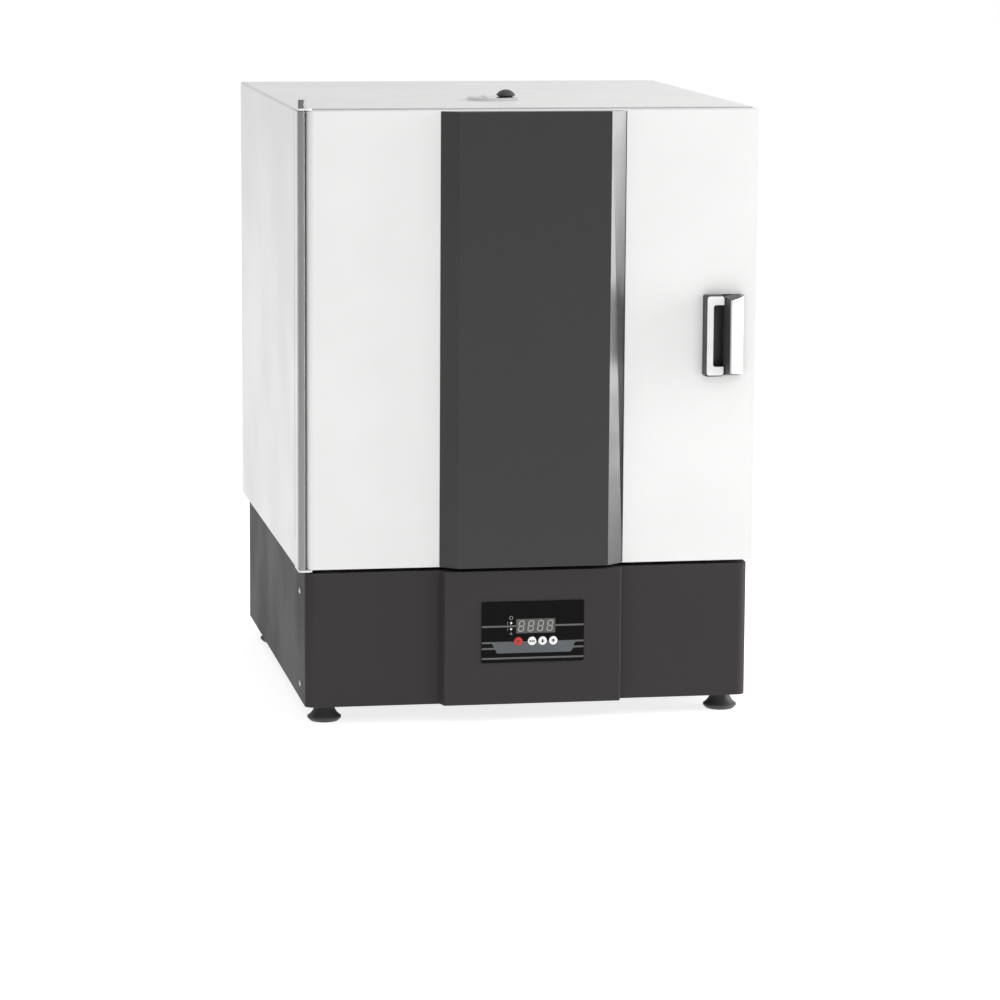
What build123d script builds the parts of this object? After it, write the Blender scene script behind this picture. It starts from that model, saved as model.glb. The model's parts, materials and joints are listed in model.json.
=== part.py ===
from build123d import *
import os

# Laboratory incubator with a full-overlay door on a separate base.
# X runs across the front, Y from the door to the rear, Z up.
# The origin is on the floor, under the middle of the whole outline.

# Cabinet and door
cabinet_width = 560.0
cabinet_height = 550.0
cabinet_depth = 572.0
door_depth = 34.0
seal_gap = 4.0
door_top_gap = 1.5
door_foot_gap = 4.6
sheet = 1.2
bend_radius = 3.0
seat_gap = 0.3
running_fit = 0.05

# Base and feet
base_inset = 8.0
base_height = 168.0
base_setback = 12.0
cover_flange = 60.0
cover_corner = 11.0
cover_lip = 8.0
cover_step = 4.0
cover_raise = 13.0
raise_slope = 4.0
chassis_flange = 18.0
foot_height = 21.0
foot_radius = 20.5
foot_sole_radius = 17.0
foot_neck_radius = 11.5
foot_rim_height = 5.5
foot_waist = 1.6
foot_travel = 10.0
foot_inset_x = 26.0
foot_inset_front = 28.0
foot_inset_rear = 76.0
stud_radius = 4.0
stud_length = 30.0
nut_radius = 8.0
nut_height = 7.0

# Dark centre panel, shared by the door and the base cover
panel_middle = 3.0
panel_share = 0.4
panel_chamfer = 20.5
panel_raise = 16.0

# Chamber
chamber_side_wall = 75.0
chamber_floor_wall = 55.0
chamber_roof_wall = 55.0
chamber_rear_wall = 150.8
liner_sheet = 1.0
liner_corner = 4.0

# Hinge at the left front edge
rod_radius = 4.5
rod_edge_gap = 0.5
rod_seat_gap = 0.4
cove_radius = 8.0
pin_radius = 2.5
pin_reach = 22.0
pin_head_radius = 4.3
pin_head_height = 10.0
hinge_plate_thickness = 2.5
hinge_plate_width = 17.0
hinge_plate_run = 46.0
hinge_leg_height = 34.0

# Door seal
seal_width = 14.0
seal_overlap = 6.0
seal_corner = 18.0
seal_lip = 5.0

# Inner pan of the door
pan_recess = 6.0
pan_border = 14.0

# Latch on the right of the door
latch_right_inset = 19.0
latch_width = 49.5
latch_height = 98.7
latch_centre_rise = 2.3
latch_body_depth = 12.0
latch_draft = 3.0
latch_root = 1.2
latch_reach = 27.0
face_plate = 1.2
face_margin = 7.5
pocket_height = 75.0
pocket_width = 20.0
pocket_depth = 9.0
pocket_wall = 1.5
pocket_corner = 3.0
lever_pin_inset = 3.8
lever_pin_setout = 5.2
lever_pin_radius = 1.5
lever_nose_radius = 3.6
lever_edge = 25.5
lever_lean = 5.5
lever_back = 9.0
lever_heel = 9.0
lever_bevel = 5.5
lever_crest_round = 1.8
ear_radius = 2.6
ear_height = 5.0
ear_offset = 30.0
arm_height = 12.0
arm_thickness = 4.5
arm_eye_radius = 2.9
arm_nose = 4.0
arm_nose_reach = 7.0
arm_clearance = 0.5
strike_radius = 4.0
strike_offset = 4.0
strike_depth = 22.0
strike_ear = 2.0
strike_plate_thickness = 2.0
strike_plate_height = 44.0
strike_ear_width = 14.0

# Inner glass door
glass_thickness = 5.0
glass_setback = 11.5
glass_side_gap = 5.0
glass_end_gap = 5.0
glass_axis_inset = 7.5
clamp_length = 24.0
clamp_height = 20.0
clamp_jaw = 3.0
clamp_lead = 3.5
knob_radius = 9.0
knob_reach = 9.0
knob_inset = 22.0
catch_width = 13.0
catch_height = 40.0
catch_depth = 12.0

# Shelves and racks
shelf_wire = 1.5
shelf_rod = 2.5
shelf_brace = 2.0
shelf_wires = 13
shelf_side_gap = 4.0
shelf_end_gap = 3.0
shelf_corner = 14.0
rack_front_gap = 44.0
rack_rear_gap = 20.0
rack_strip = 16.0
rack_sheet = 1.5
rack_ledge = 13.0
rack_levels = 6
rack_floor_gap = 70.0
rack_roof_gap = 80.0
rack_end_gap = 12.0
shelf_ledge_numbers = (1, 4)

# Heater under the chamber floor plate
heater_radius = 4.0
heater_runs = 4
heater_side_gap = 79.0
heater_front_gap = 90.0
heater_bend = 30.0
heater_lift = 7.0
floor_plate_lift = 17.0
floor_plate_gap = 6.0
floor_slot_bridge = 30.0
floor_slot_width = 8.0
floor_slot_rows = 9
floor_slot_columns = 3
cable_hole_radius = 12.0
cable_hole_setback = 40.0
wiring_space = 40.0
probe_radius = 2.5
probe_length = 90.0
probe_drop = 60.0
probe_offset = 70.0

# Vent on the top
vent_x = -15.0
vent_setback = 152.0
vent_bore = 24.0
vent_pipe_wall = 1.0
vent_radius = 33.0
vent_taper = 2.5
vent_rise = 4.0
vent_rim = 5.0
damper_thickness = 1.2
damper_gap = 0.3
damper_hole_radius = 4.0
damper_hole_circle = 15.0
damper_pivot_radius = 3.0
vent_knob_radius = 12.0
vent_knob_offset = 17.0
vent_knob_rise = 9.0
vent_knob_neck = 8.0

# Controls on the base cover
plate_width = 126.0
plate_height = 75.0
plate_thickness = 1.0
plate_corner = 2.0
plate_height_above_base = 89.0
window_width = 48.0
window_height = 17.5
window_offset_x = 3.5
window_offset_z = 7.0
module_width = 50.3
module_height = 19.0
key_radius = 5.2
key_gap = 0.2
key_proud = 1.4
key_row_drop = 11.5
key_offsets = (-18.0, -1.0, 12.0, 25.0)
key_names = ("key_power", "key_set", "key_down", "key_up")
key_travel = 0.8
key_body = 4.5
key_stem_radius = 1.7
key_stem_entry = 1.2
lamp_radius = 1.5
lamp_offset_x = -26.7
lamp_offsets_z = (3.5, 11.0)
lamp_proud = 0.3
switch_size = 6.2
switch_height = 4.5
board_thickness = 1.6
board_width = 104.0
board_height = 52.0
board_setback = 10.5
case_wall = 1.6
case_depth = 22.0
case_boss_radius = 3.0

# Electrical pieces in the base
relay_width = 45.0
relay_length = 58.0
relay_height = 23.0
block_width = 60.0
block_depth = 22.0
block_height = 18.0
inlet_side_inset = 82.0
inlet_height = 62.0
inlet_width = 62.0
inlet_flange_height = 30.0
inlet_flange = 2.5
inlet_body_depth = 24.0
inlet_margin = 2.5
socket_width = 24.5
socket_height = 17.0
socket_depth = 16.0
socket_offset = -14.0
contact_width = 2.0
contact_height = 4.0
contact_length = 10.0
contact_spread = 7.0
rocker_width = 13.0
rocker_height = 19.0
rocker_offset = 18.5
rocker_crest = 8.5
rocker_dish = 1.6
rocker_edge = 2.0
rocker_root = 4.0
rocker_tilt = 9.0
rocker_axis_depth = 5.5
rocker_gap = 0.4
rocker_well_height = 22.4
rocker_pin_radius = 1.2
rocker_pin_reach = 1.4

louvre_rows = 6
louvre_length = 80.0
louvre_space = 20.0
louvre_pitch = 13.0

# Screws
screw_head_radius = 4.0
screw_head_height = 1.8
screw_shank_radius = 1.5
screw_length = 5.0
screw_setback = 8.0
cover_screw_heights = (20.0, 134.5)
rear_panel_inset = 3.0

# Planes worked out from the sizes above
overall_depth = latch_reach + door_depth + seal_gap + cabinet_depth
door_front = -overall_depth / 2 + latch_reach
door_rear = door_front + door_depth
shell_front = door_rear + seal_gap
shell_rear = shell_front + cabinet_depth
base_rear = shell_rear - base_setback
base_floor = foot_height
base_top = base_floor + base_height
cabinet_top = base_top + cabinet_height
door_top = cabinet_top - door_top_gap
cover_top = base_top - cover_step
door_bottom = cover_top + door_foot_gap
half_cabinet = cabinet_width / 2
half_base = half_cabinet - base_inset
chamber_width = cabinet_width - 2 * chamber_side_wall
chamber_height = cabinet_height - chamber_floor_wall - chamber_roof_wall
chamber_depth = cabinet_depth - sheet - chamber_rear_wall
half_chamber = chamber_width / 2
chamber_floor = base_top + chamber_floor_wall
chamber_top = chamber_floor + chamber_height
chamber_front = shell_front + sheet
chamber_rear = chamber_front + chamber_depth
panel_width = cabinet_width * panel_share
panel_left = panel_middle - panel_width / 2
panel_right = panel_middle + panel_width / 2
cover_seam = door_front + cover_flange
raised_front = door_front - cover_raise
rod_x = -half_cabinet + rod_edge_gap + rod_radius
rod_y = door_front + rod_edge_gap + rod_radius
notch_x = rod_x + rod_radius + rod_seat_gap
notch_y = rod_y + rod_radius + rod_seat_gap
latch_right = half_cabinet - latch_right_inset
latch_left = latch_right - latch_width
latch_z = base_top + cabinet_height / 2 + latch_centre_rise
lever_x = latch_right - lever_pin_inset
lever_y = door_front - lever_pin_setout
arm_right = lever_x - arm_clearance
arm_left = arm_right - arm_thickness
strike_x = lever_x + strike_offset
strike_y = door_front + strike_depth
nose_front = strike_y + strike_radius + arm_clearance
pocket_left = latch_left + latch_draft + face_margin
pocket_right = pocket_left + pocket_width
glass_front = shell_front + glass_setback
glass_rear = glass_front + glass_thickness
glass_axis_x = -half_chamber + glass_axis_inset
glass_axis_y = glass_front + glass_thickness / 2
vent_y = shell_front + vent_setback
plate_z = base_floor + plate_height_above_base
plate_front = raised_front - plate_thickness
key_z = plate_z - key_row_drop
window_x = panel_middle + window_offset_x
window_z = plate_z + window_offset_z
board_front = raised_front + board_setback
inlet_x = half_base - inlet_side_inset
inlet_z = base_floor + inlet_height
rack_front = glass_rear + rack_front_gap
rack_rear = chamber_rear - rack_rear_gap
rack_pitch = (chamber_height - rack_floor_gap - rack_roof_gap) / (rack_levels - 1)
heater_pitch = (chamber_width - 2 * heater_side_gap) / (heater_runs - 1)


def slab(x0, x1, y0, y1, z0, z1):
    """Rectangular solid between two opposite corners."""
    middle = Pos((x0 + x1) / 2, (y0 + y1) / 2, (z0 + z1) / 2)
    return middle * Box(x1 - x0, y1 - y0, z1 - z0)


def upright(x, y, z0, z1, radius):
    """Cylinder that stands along Z."""
    return Pos(x, y, (z0 + z1) / 2) * Cylinder(radius, z1 - z0)


def spindle(x, z, y0, y1, radius):
    """Cylinder that lies along Y."""
    return Pos(x, (y0 + y1) / 2, z) * Rot(90, 0, 0) * Cylinder(radius, y1 - y0)


def cross_rod(y, z, x0, x1, radius):
    """Cylinder that lies along X."""
    return Pos((x0 + x1) / 2, y, z) * Rot(0, 90, 0) * Cylinder(radius, x1 - x0)


def plan_face(points):
    """Face in the XY plane inside a closed run of points."""
    return make_face(Polyline(*points, close=True))


def raise_plan(face, z0, z1):
    """Upright solid over a plan face."""
    return Pos(0, 0, z0) * extrude(face, z1 - z0)


def front_solid(face, x, z, y0, y1):
    """Solid over a front-view face, from y0 back to y1."""
    plane = Plane(origin=(x, y1, z), x_dir=(1, 0, 0), z_dir=(0, -1, 0))
    return extrude(plane * face, y1 - y0)


def front_plate(x, z, width, height, corner, y0, y1):
    """Plate with round corners, seen from the front."""
    return front_solid(RectangleRounded(width, height, corner), x, z, y0, y1)


def both_sides(shape):
    """A solid and its mirror image across the middle of the cabinet."""
    return [shape, mirror(shape, Plane.YZ)]


def foot_places():
    """Names and centres of the four feet."""
    x = half_base - foot_inset_x
    front = door_front + foot_inset_front
    rear = base_rear - foot_inset_rear
    return {
        "foot_front_left": (-x, front),
        "foot_front_right": (x, front),
        "foot_rear_left": (-x, rear),
        "foot_rear_right": (x, rear),
    }


# Base

def base_chassis():
    """Floor pan with both sides turned up and joggled in behind the cover."""
    seam = cover_seam + seat_gap
    outer = -half_base
    lip = cover_seam - cover_flange / 2
    side = plan_face([
        (outer, base_rear),
        (outer, seam),
        (outer + sheet, seam),
        (outer + sheet, lip),
        (outer + 2 * sheet, lip),
        (outer + 2 * sheet, seam + sheet),
        (outer + sheet, seam + sheet),
        (outer + sheet, base_rear),
    ])
    wall = raise_plan(side, base_floor, base_top - cover_step - sheet - seat_gap)
    upper = slab(outer, outer + sheet, seam, base_rear, base_floor, base_top)
    flange = slab(outer, outer + chassis_flange, seam, base_rear, base_top - sheet, base_top)
    sides = both_sides(wall + upper + flange)
    floor_front = door_front + cover_lip + seat_gap
    floor = slab(
        outer + sheet, -outer - sheet, floor_front, base_rear,
        base_floor, base_floor + sheet,
    )
    corner_cut = slab(
        outer, outer + 2 * sheet, floor_front, lip, base_floor, base_floor + sheet,
    )
    body = floor + sides[0] + sides[1] - both_sides(corner_cut)
    rear_fold = slab(
        outer, outer + chassis_flange, base_rear - 2 * sheet, base_rear - sheet,
        base_floor, base_top,
    )
    for fold in both_sides(rear_fold):
        body += fold
    for x, y in foot_places().values():
        body -= upright(x, y, base_floor, base_floor + sheet, stud_radius + 1.0)
    for vent in floor_vents():
        body -= vent
    return drill_for_screws(body)


def drill_for_screws(body):
    """The body with a hole for the shank of every panel screw that meets it."""
    for x, y, z in cover_screw_places():
        body -= cross_rod(y, z, x - 2.5 * sheet, x + 2.5 * sheet, screw_shank_radius)
    for x, y, z in rear_screw_places():
        body -= spindle(x, z, y - 2.5 * sheet, y + sheet, screw_shank_radius)
    return body


def floor_vents():
    """Two rows of air slots in the floor of the base."""
    slot_width = 6.0
    slot_length = 70.0
    slot_pitch = 16.0
    slots = []
    for side in (-1, 1):
        for step in range(7):
            x = side * half_base / 2
            y = base_rear - base_height + step * slot_pitch - slot_length
            slots.append(slab(
                x - slot_length / 2, x + slot_length / 2, y, y + slot_width,
                base_floor, base_floor + sheet,
            ))
    return slots


def base_front_cover():
    """Folded front cover with round corners, side flanges and the control cut-out."""
    beyond = cover_seam + 2 * sheet
    outer = plan_face([
        (-half_base, beyond), (-half_base, door_front), (half_base, door_front),
        (half_base, beyond),
    ])
    outer = fillet(outer.vertices().group_by(Axis.Y)[0], cover_corner)
    inner = offset(outer, amount=-sheet, kind=Kind.INTERSECTION)
    wall = raise_plan(outer - inner, base_floor, cover_top)
    top_lip = raise_plan(outer, cover_top - sheet, cover_top)
    bottom_lip = raise_plan(outer, base_floor, base_floor + sheet)
    top_lip -= slab(
        -half_base, half_base, door_rear, beyond, cover_top - sheet, cover_top,
    )
    bottom_lip -= slab(
        -half_base, half_base, door_front + cover_lip, beyond, base_floor, base_floor + sheet,
    )
    cover = wall + top_lip + bottom_lip
    cover -= slab(-half_base, half_base, cover_seam, beyond, base_floor, cover_top)
    cover -= front_plate(
        panel_middle, plate_z, plate_width, plate_height, plate_corner,
        door_front - sheet, door_front + 2 * sheet,
    )
    return drill_for_screws(cover)


def raised_panel(front, slope, low, high):
    """Hollow folded panel with sloped sides, standing on the plane of the door front."""
    face = plan_face([
        (panel_left, door_front),
        (panel_left + slope, front),
        (panel_right - slope, front),
        (panel_right, door_front),
    ])
    block = raise_plan(face, low, high)
    inner = offset(face, amount=-sheet, kind=Kind.INTERSECTION)
    hollow = raise_plan(inner, low + sheet, high - sheet)
    mouth = slab(
        panel_left + 3 * sheet, panel_right - 3 * sheet, door_front - 2 * sheet, door_front,
        low + sheet, high - sheet,
    )
    return block - hollow - mouth


def base_centre_panel():
    """Raised middle of the base front, cut out behind the control plate."""
    panel = raised_panel(raised_front, raise_slope, base_floor, cover_top)
    return panel - front_plate(
        panel_middle, plate_z, plate_width - 4 * case_wall, plate_height - 4 * case_wall,
        plate_corner, raised_front - 1, raised_front + 2 * sheet,
    )


def cover_screw_places():
    """Points on the outer faces of the cover flanges where the screws sit."""
    y = cover_seam - screw_setback
    return [
        (side * half_base, y, base_floor + height)
        for side in (-1, 1)
        for height in cover_screw_heights
    ]


def rear_screw_places():
    """Screw points on the cabinet rear panel and on the base rear panel."""
    cabinet_x = half_cabinet - 12.0
    base_x = half_base - 12.0
    cabinet_y = shell_rear - rear_panel_inset
    low = base_top + 14.0
    high = cabinet_top - 14.0
    places = [(side * cabinet_x, cabinet_y, z)
              for side in (-1, 1) for z in (low, (low + high) / 2, high)]
    places += [(side * base_x, base_rear, z)
               for side in (-1, 1) for z in (base_floor + 14.0, base_top - 14.0)]
    return places


def domed_turning(points, top):
    """Turned solid about Z: straight runs through the points, then a dome to the top."""
    edge = points[-1]
    crown = ThreePointArc(edge, (0, top), (-edge[0], edge[1])).trim(0, 0.5)
    low = points[0]
    lines = [Line(start, end) for start, end in zip(points, points[1:])]
    half = make_face(lines + [crown, Line((0, top), low)])
    return revolve(Plane.XZ * half, Axis.Z)


def pan_head():
    """Pan-head screw along +Z with the underside of its head at the origin."""
    body = domed_turning(
        [
            (0, -screw_length), (screw_shank_radius, -screw_length),
            (screw_shank_radius, 0), (screw_head_radius, 0),
            (screw_head_radius, screw_head_height / 3),
        ],
        screw_head_height,
    )
    slot = slab(
        -screw_head_radius, screw_head_radius, -0.5, 0.5,
        screw_head_height * 0.45, screw_head_height,
    )
    return body - slot


def panel_screws():
    """All the panel screws: on the cover flanges and on the rear panels."""
    screw = pan_head()
    placed = []
    for x, y, z in cover_screw_places():
        placed.append(Pos(x, y, z) * Rot(0, 90 if x > 0 else -90, 0) * screw)
    for x, y, z in rear_screw_places():
        placed.append(Pos(x, y, z) * Rot(-90, 0, 0) * screw)
    return Compound(children=placed)


def base_rear_panel():
    """Rear sheet of the base with louvres, the inlet cut-out and screw holes."""
    side = half_base - sheet
    panel = slab(
        -side, side, base_rear - sheet, base_rear,
        base_floor + sheet + seat_gap, base_top - sheet - seat_gap,
    )
    panel -= slab(
        inlet_x - inlet_width / 2 + inlet_margin, inlet_x + inlet_width / 2 - inlet_margin,
        base_rear - sheet, base_rear,
        inlet_z - inlet_flange_height / 2 + inlet_margin,
        inlet_z + inlet_flange_height / 2 - inlet_margin,
    )
    for column in (-1, 0):
        for row in range(louvre_rows):
            x = -half_base / 4 + column * (louvre_length + louvre_space)
            z = inlet_z - louvre_pitch + row * louvre_pitch
            panel -= slab(
                x - louvre_length / 2, x + louvre_length / 2, base_rear - sheet, base_rear,
                z - 2.0, z + 2.0,
            )
            hood = slab(
                x - louvre_length / 2, x + louvre_length / 2,
                base_rear, base_rear + 3.0, z + 2.0, z + 2.0 + sheet,
            )
            hood += slab(
                x - louvre_length / 2, x + louvre_length / 2,
                base_rear + 3.0 - sheet, base_rear + 3.0, z - 1.0, z + 2.0,
            )
            panel += hood
    return drill_for_screws(panel)


def foot():
    """Bell-shaped levelling foot with its threaded stud, sole at z = 0."""
    neck_top = foot_height - seat_gap
    profile = Polyline(
        (0, 0), (foot_sole_radius, 0), (foot_radius, foot_rim_height * 0.6),
        (foot_radius, foot_rim_height),
    )
    bell = ThreePointArc(
        (foot_radius, foot_rim_height),
        (
            (foot_radius + foot_neck_radius) / 2 - foot_waist,
            (foot_rim_height + neck_top) / 2 - foot_waist,
        ),
        (foot_neck_radius, neck_top),
    )
    stud = Polyline(
        (foot_neck_radius, neck_top), (stud_radius, neck_top),
        (stud_radius, neck_top + stud_length - 1.0),
        (stud_radius - 1.0, neck_top + stud_length), (0, neck_top + stud_length), (0, 0),
    )
    return revolve(Plane.XZ * make_face([profile, bell, stud]), Axis.Z)


def foot_nuts():
    """Weld nuts on the base floor, one round each foot stud."""
    nuts = []
    for x, y in foot_places().values():
        low = base_floor + sheet
        prism = extrude(RegularPolygon(nut_radius, 6), nut_height)
        prism -= Pos(0, 0, nut_height / 2) * Cylinder(stud_radius + running_fit, nut_height)
        nuts.append(Pos(x, y, low) * prism)
    return Compound(children=nuts)


# Cabinet

def round_topped(half, low, high, radius, y0, y1):
    """Upright slab with both top corners rounded."""
    block = slab(-half, half, y0, y1, low, high)
    return fillet(block.edges().filter_by(Axis.Y).group_by(Axis.Z)[-1], radius)


def inside_shell(y0, y1):
    """Slab that fills the cabinet shell from side to side, above its floor."""
    return round_topped(
        half_cabinet - sheet, base_top + sheet, cabinet_top - sheet,
        bend_radius - sheet, y0, y1,
    )


def cabinet_shell():
    """White wrap: top and both sides in one sheet, with bottom and rear flanges."""
    outer = round_topped(
        half_cabinet, base_top, cabinet_top, bend_radius, shell_front, shell_rear,
    )
    inner = round_topped(
        half_cabinet - sheet, base_top - sheet, cabinet_top - sheet, bend_radius - sheet,
        shell_front, shell_rear,
    )
    wrap = outer - inner
    flange = slab(
        -half_cabinet, -half_cabinet + chassis_flange, shell_front, shell_rear,
        base_top, base_top + sheet,
    )
    for part in both_sides(flange):
        wrap += part
    fold_rear = shell_rear - rear_panel_inset - sheet
    fold = inside_shell(fold_rear - sheet, fold_rear)
    side = half_cabinet - chassis_flange
    fold -= slab(
        -side, side, fold_rear - sheet, fold_rear, base_top, cabinet_top - chassis_flange,
    )
    wrap += fold
    wrap -= upright(vent_x, vent_y, cabinet_top - 2 * sheet, cabinet_top, vent_bore)
    return drill_for_screws(wrap)


def cabinet_floor():
    """Bottom sheet of the cabinet, resting on the chassis flanges."""
    side = half_cabinet - chassis_flange - seat_gap
    rear = shell_rear - rear_panel_inset - 2 * sheet - seat_gap
    floor = slab(-side, side, shell_front, rear, base_top, base_top + sheet)
    cable_hole = upright(
        0, rear - cable_hole_setback, base_top, base_top + sheet, cable_hole_radius,
    )
    return floor - cable_hole


def cabinet_rear_panel():
    """Flat white sheet that closes the back of the cabinet."""
    rear = shell_rear - rear_panel_inset
    return drill_for_screws(inside_shell(rear - sheet, rear))


def mouth_middle():
    """Height of the middle of the chamber."""
    return (chamber_floor + chamber_top) / 2


def front_frame():
    """Stainless frame between the shell and the chamber mouth."""
    frame = inside_shell(shell_front, shell_front + sheet)
    mouth = front_plate(
        0, mouth_middle(), chamber_width, chamber_height, liner_corner,
        shell_front, shell_front + sheet,
    )
    return frame - mouth


def chamber_liner():
    """Stainless chamber box, open at the front, with vent and sensor holes."""
    outer = front_plate(
        0, mouth_middle(), chamber_width + 2 * liner_sheet, chamber_height + 2 * liner_sheet,
        liner_corner + liner_sheet, chamber_front, chamber_rear + liner_sheet,
    )
    inner = front_plate(
        0, mouth_middle(), chamber_width, chamber_height, liner_corner,
        chamber_front, chamber_rear,
    )
    box = outer - inner
    box -= upright(vent_x, vent_y, chamber_top - 1, chamber_top + 2, vent_bore)
    for x, z, radius in rear_port_places():
        box -= spindle(x, z, chamber_rear - 1, chamber_rear + 2, radius + running_fit)
    return box


def rear_port_places():
    """Holes in the rear wall of the chamber: probe and both heater ends."""
    half_span = (heater_runs - 1) * heater_pitch / 2
    heater_z = chamber_floor + heater_lift
    return [
        (probe_offset, chamber_top - probe_drop, probe_radius),
        (-half_span, heater_z, heater_radius),
        (half_span, heater_z, heater_radius),
    ]


def insulation_jacket():
    """Glass-wool jacket that fills the space between the liner and the shell."""
    gap = seat_gap
    outer = slab(
        -half_cabinet + sheet + gap, half_cabinet - sheet - gap,
        chamber_front + gap, shell_rear - rear_panel_inset - sheet - wiring_space,
        base_top + sheet + gap, cabinet_top - sheet - bend_radius,
    )
    grow = 2 * (liner_sheet + gap)
    core = front_plate(
        0, mouth_middle(), chamber_width + grow, chamber_height + grow, liner_corner,
        chamber_front, chamber_rear + liner_sheet + gap,
    )
    jacket = outer - core
    jacket -= upright(
        vent_x, vent_y, chamber_top, cabinet_top, vent_bore + vent_pipe_wall + gap,
    )
    for x, z, radius in rear_port_places():
        jacket -= spindle(x, z, chamber_rear, shell_rear, radius + 3.0)
    return jacket


def heater_element():
    """Sheathed heater bent in a flat serpentine, both ends through the rear wall."""
    half_span = (heater_runs - 1) * heater_pitch / 2
    near = chamber_front + heater_front_gap
    far = chamber_rear - 2 * heater_bend
    out = chamber_rear + liner_sheet + 6.0
    z = chamber_floor + heater_lift
    points = [(-half_span, out, z)]
    for run in range(heater_runs):
        x = -half_span + run * heater_pitch
        going_out = run % 2 == 0
        if run > 0:
            points.append((x, near if not going_out else far, z))
        if run < heater_runs - 1:
            points.append((x, near if going_out else far, z))
    points.append((half_span, out, z))
    path = FilletPolyline(*points, radius=heater_bend)
    start = Plane(origin=points[0], z_dir=(0, -1, 0))
    return sweep(start * Circle(heater_radius), path=path)


def heater_cover():
    """Slotted floor plate on folded feet over the heater."""
    side = half_chamber - floor_plate_gap
    front = glass_rear + catch_depth + 4.0
    rear = chamber_rear - floor_plate_gap
    top = chamber_floor + floor_plate_lift
    plate = slab(-side, side, front, rear, top - sheet, top)
    legs = slab(-side, -side + sheet, front, rear, chamber_floor, top)
    for leg in both_sides(legs):
        plate += leg
    spacing = 2 * side / floor_slot_columns
    pitch = (rear - front) / (floor_slot_rows + 1)
    half_slot = (spacing - floor_slot_bridge) / 2
    for row in range(floor_slot_rows):
        for column in range(floor_slot_columns):
            x = (column - (floor_slot_columns - 1) / 2) * spacing
            y = front + (row + 1) * pitch
            plate -= slab(
                x - half_slot, x + half_slot,
                y - floor_slot_width / 2, y + floor_slot_width / 2, top - sheet, top,
            )
    return plate


def rack_level(step):
    """Height of the top of a shelf ledge."""
    return chamber_floor + rack_floor_gap + step * rack_pitch


def shelf_racks():
    """Ledged racks on both side walls: two uprights each, with folded ledges."""
    wall = -half_chamber
    face = wall + rack_sheet
    pieces = []
    for y in (rack_front, rack_rear - rack_strip):
        upright_strip = slab(
            wall, face, y, y + rack_strip,
            chamber_floor + rack_end_gap, chamber_top - rack_end_gap,
        )
        pieces += both_sides(upright_strip)
    for step in range(rack_levels):
        top = rack_level(step)
        ledge = slab(face, wall + rack_ledge, rack_front, rack_rear, top - rack_sheet, top)
        ledge += slab(face, face + rack_sheet, rack_front, rack_rear, top - rack_ledge, top)
        pieces += both_sides(ledge)
    return Compound(children=pieces)


def wire_shelf(step):
    """Wire shelf with a round-cornered rod frame, resting on two ledges."""
    half = half_chamber - shelf_side_gap - rack_sheet
    rear = rack_rear - shelf_end_gap
    front = rack_front + shelf_end_gap
    z = rack_level(step) + shelf_rod
    middle = (front + rear) / 2
    loop = Pos(0, middle, z) * RectangleRounded(2 * half, rear - front, shelf_corner)
    path = loop.face().outer_wire()
    start = Plane(origin=path @ 0, z_dir=path % 0)
    shelf = sweep(start * Circle(shelf_rod), path=path)
    pitch = 2 * half / (shelf_wires + 1)
    wires = []
    for count in range(shelf_wires):
        x = -half + (count + 1) * pitch
        wire = Rot(90, 0, 0) * Cylinder(shelf_wire, rear - front)
        wires.append(Pos(x, middle, z) * wire)
    wires.append(cross_rod(middle, z, -half, half, shelf_brace))
    return shelf + wires


def temperature_probe():
    """Stainless probe tube through the rear wall, with a round tip."""
    x, z, radius = rear_port_places()[0]
    tip = chamber_rear - probe_length
    body = spindle(x, z, tip + radius, chamber_rear + liner_sheet + 20.0, radius)
    body += Pos(x, tip + radius, z) * Sphere(radius)
    return body + spindle(x, z, chamber_rear - 3.0, chamber_rear, radius + 3.0)


# Vent

def vent_pipe():
    """Stainless pipe from the chamber roof to the underside of the top."""
    low = chamber_top + liner_sheet
    high = cabinet_top - sheet
    tube = upright(vent_x, vent_y, low, high, vent_bore + vent_pipe_wall)
    return tube - upright(vent_x, vent_y, low, high, vent_bore)


def vent_flange():
    """Bright tapered ring on the top with a ported floor and a centre post."""
    wall = Polyline(
        (vent_radius, 0), (vent_radius - vent_taper, vent_rise),
        (vent_radius - vent_rim, vent_rise), (vent_radius - vent_rim, damper_floor()),
        (0, damper_floor()), (0, 0), close=True,
    )
    ring = revolve(Plane.XZ * make_face(wall), Axis.Z)
    ring += Pos(0, 0, vent_rise / 2) * Cylinder(damper_pivot_radius, vent_rise)
    for hole in vent_ports():
        ring -= hole
    return Pos(vent_x, vent_y, cabinet_top) * ring


def damper_floor():
    """Thickness of the ported floor inside the vent flange."""
    return vent_rise - damper_gap - damper_thickness


def vent_ports():
    """Four round ports on a circle, shared by the flange and the damper."""
    ports = []
    for step in range(4):
        place = Rot(0, 0, 90 * step) * Pos(damper_hole_circle, 0, vent_rise / 2)
        ports.append(place * Cylinder(damper_hole_radius, 2 * vent_rise))
    return ports


def vent_damper():
    """Ported disc that turns in the flange, with a boss under its knob."""
    low = vent_rise - damper_thickness
    radius = vent_radius - vent_rim - seat_gap
    disc = Pos(0, 0, low + damper_thickness / 2) * Cylinder(radius, damper_thickness)
    disc -= Cylinder(damper_pivot_radius + running_fit, 4 * vent_rise)
    turn = Rot(0, 0, 45)
    for hole in vent_ports():
        disc -= turn * hole
    return Pos(vent_x, vent_y, cabinet_top) * disc


def vent_knob():
    """Dark dome knob, off the centre of the damper."""
    rim = (vent_knob_radius, vent_knob_rise * 0.22)
    knob = domed_turning([(0, 0), (vent_knob_neck, 0), rim], vent_knob_rise)
    return Pos(vent_x + vent_knob_offset, vent_y, cabinet_top + vent_rise) * knob


# Door

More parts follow.
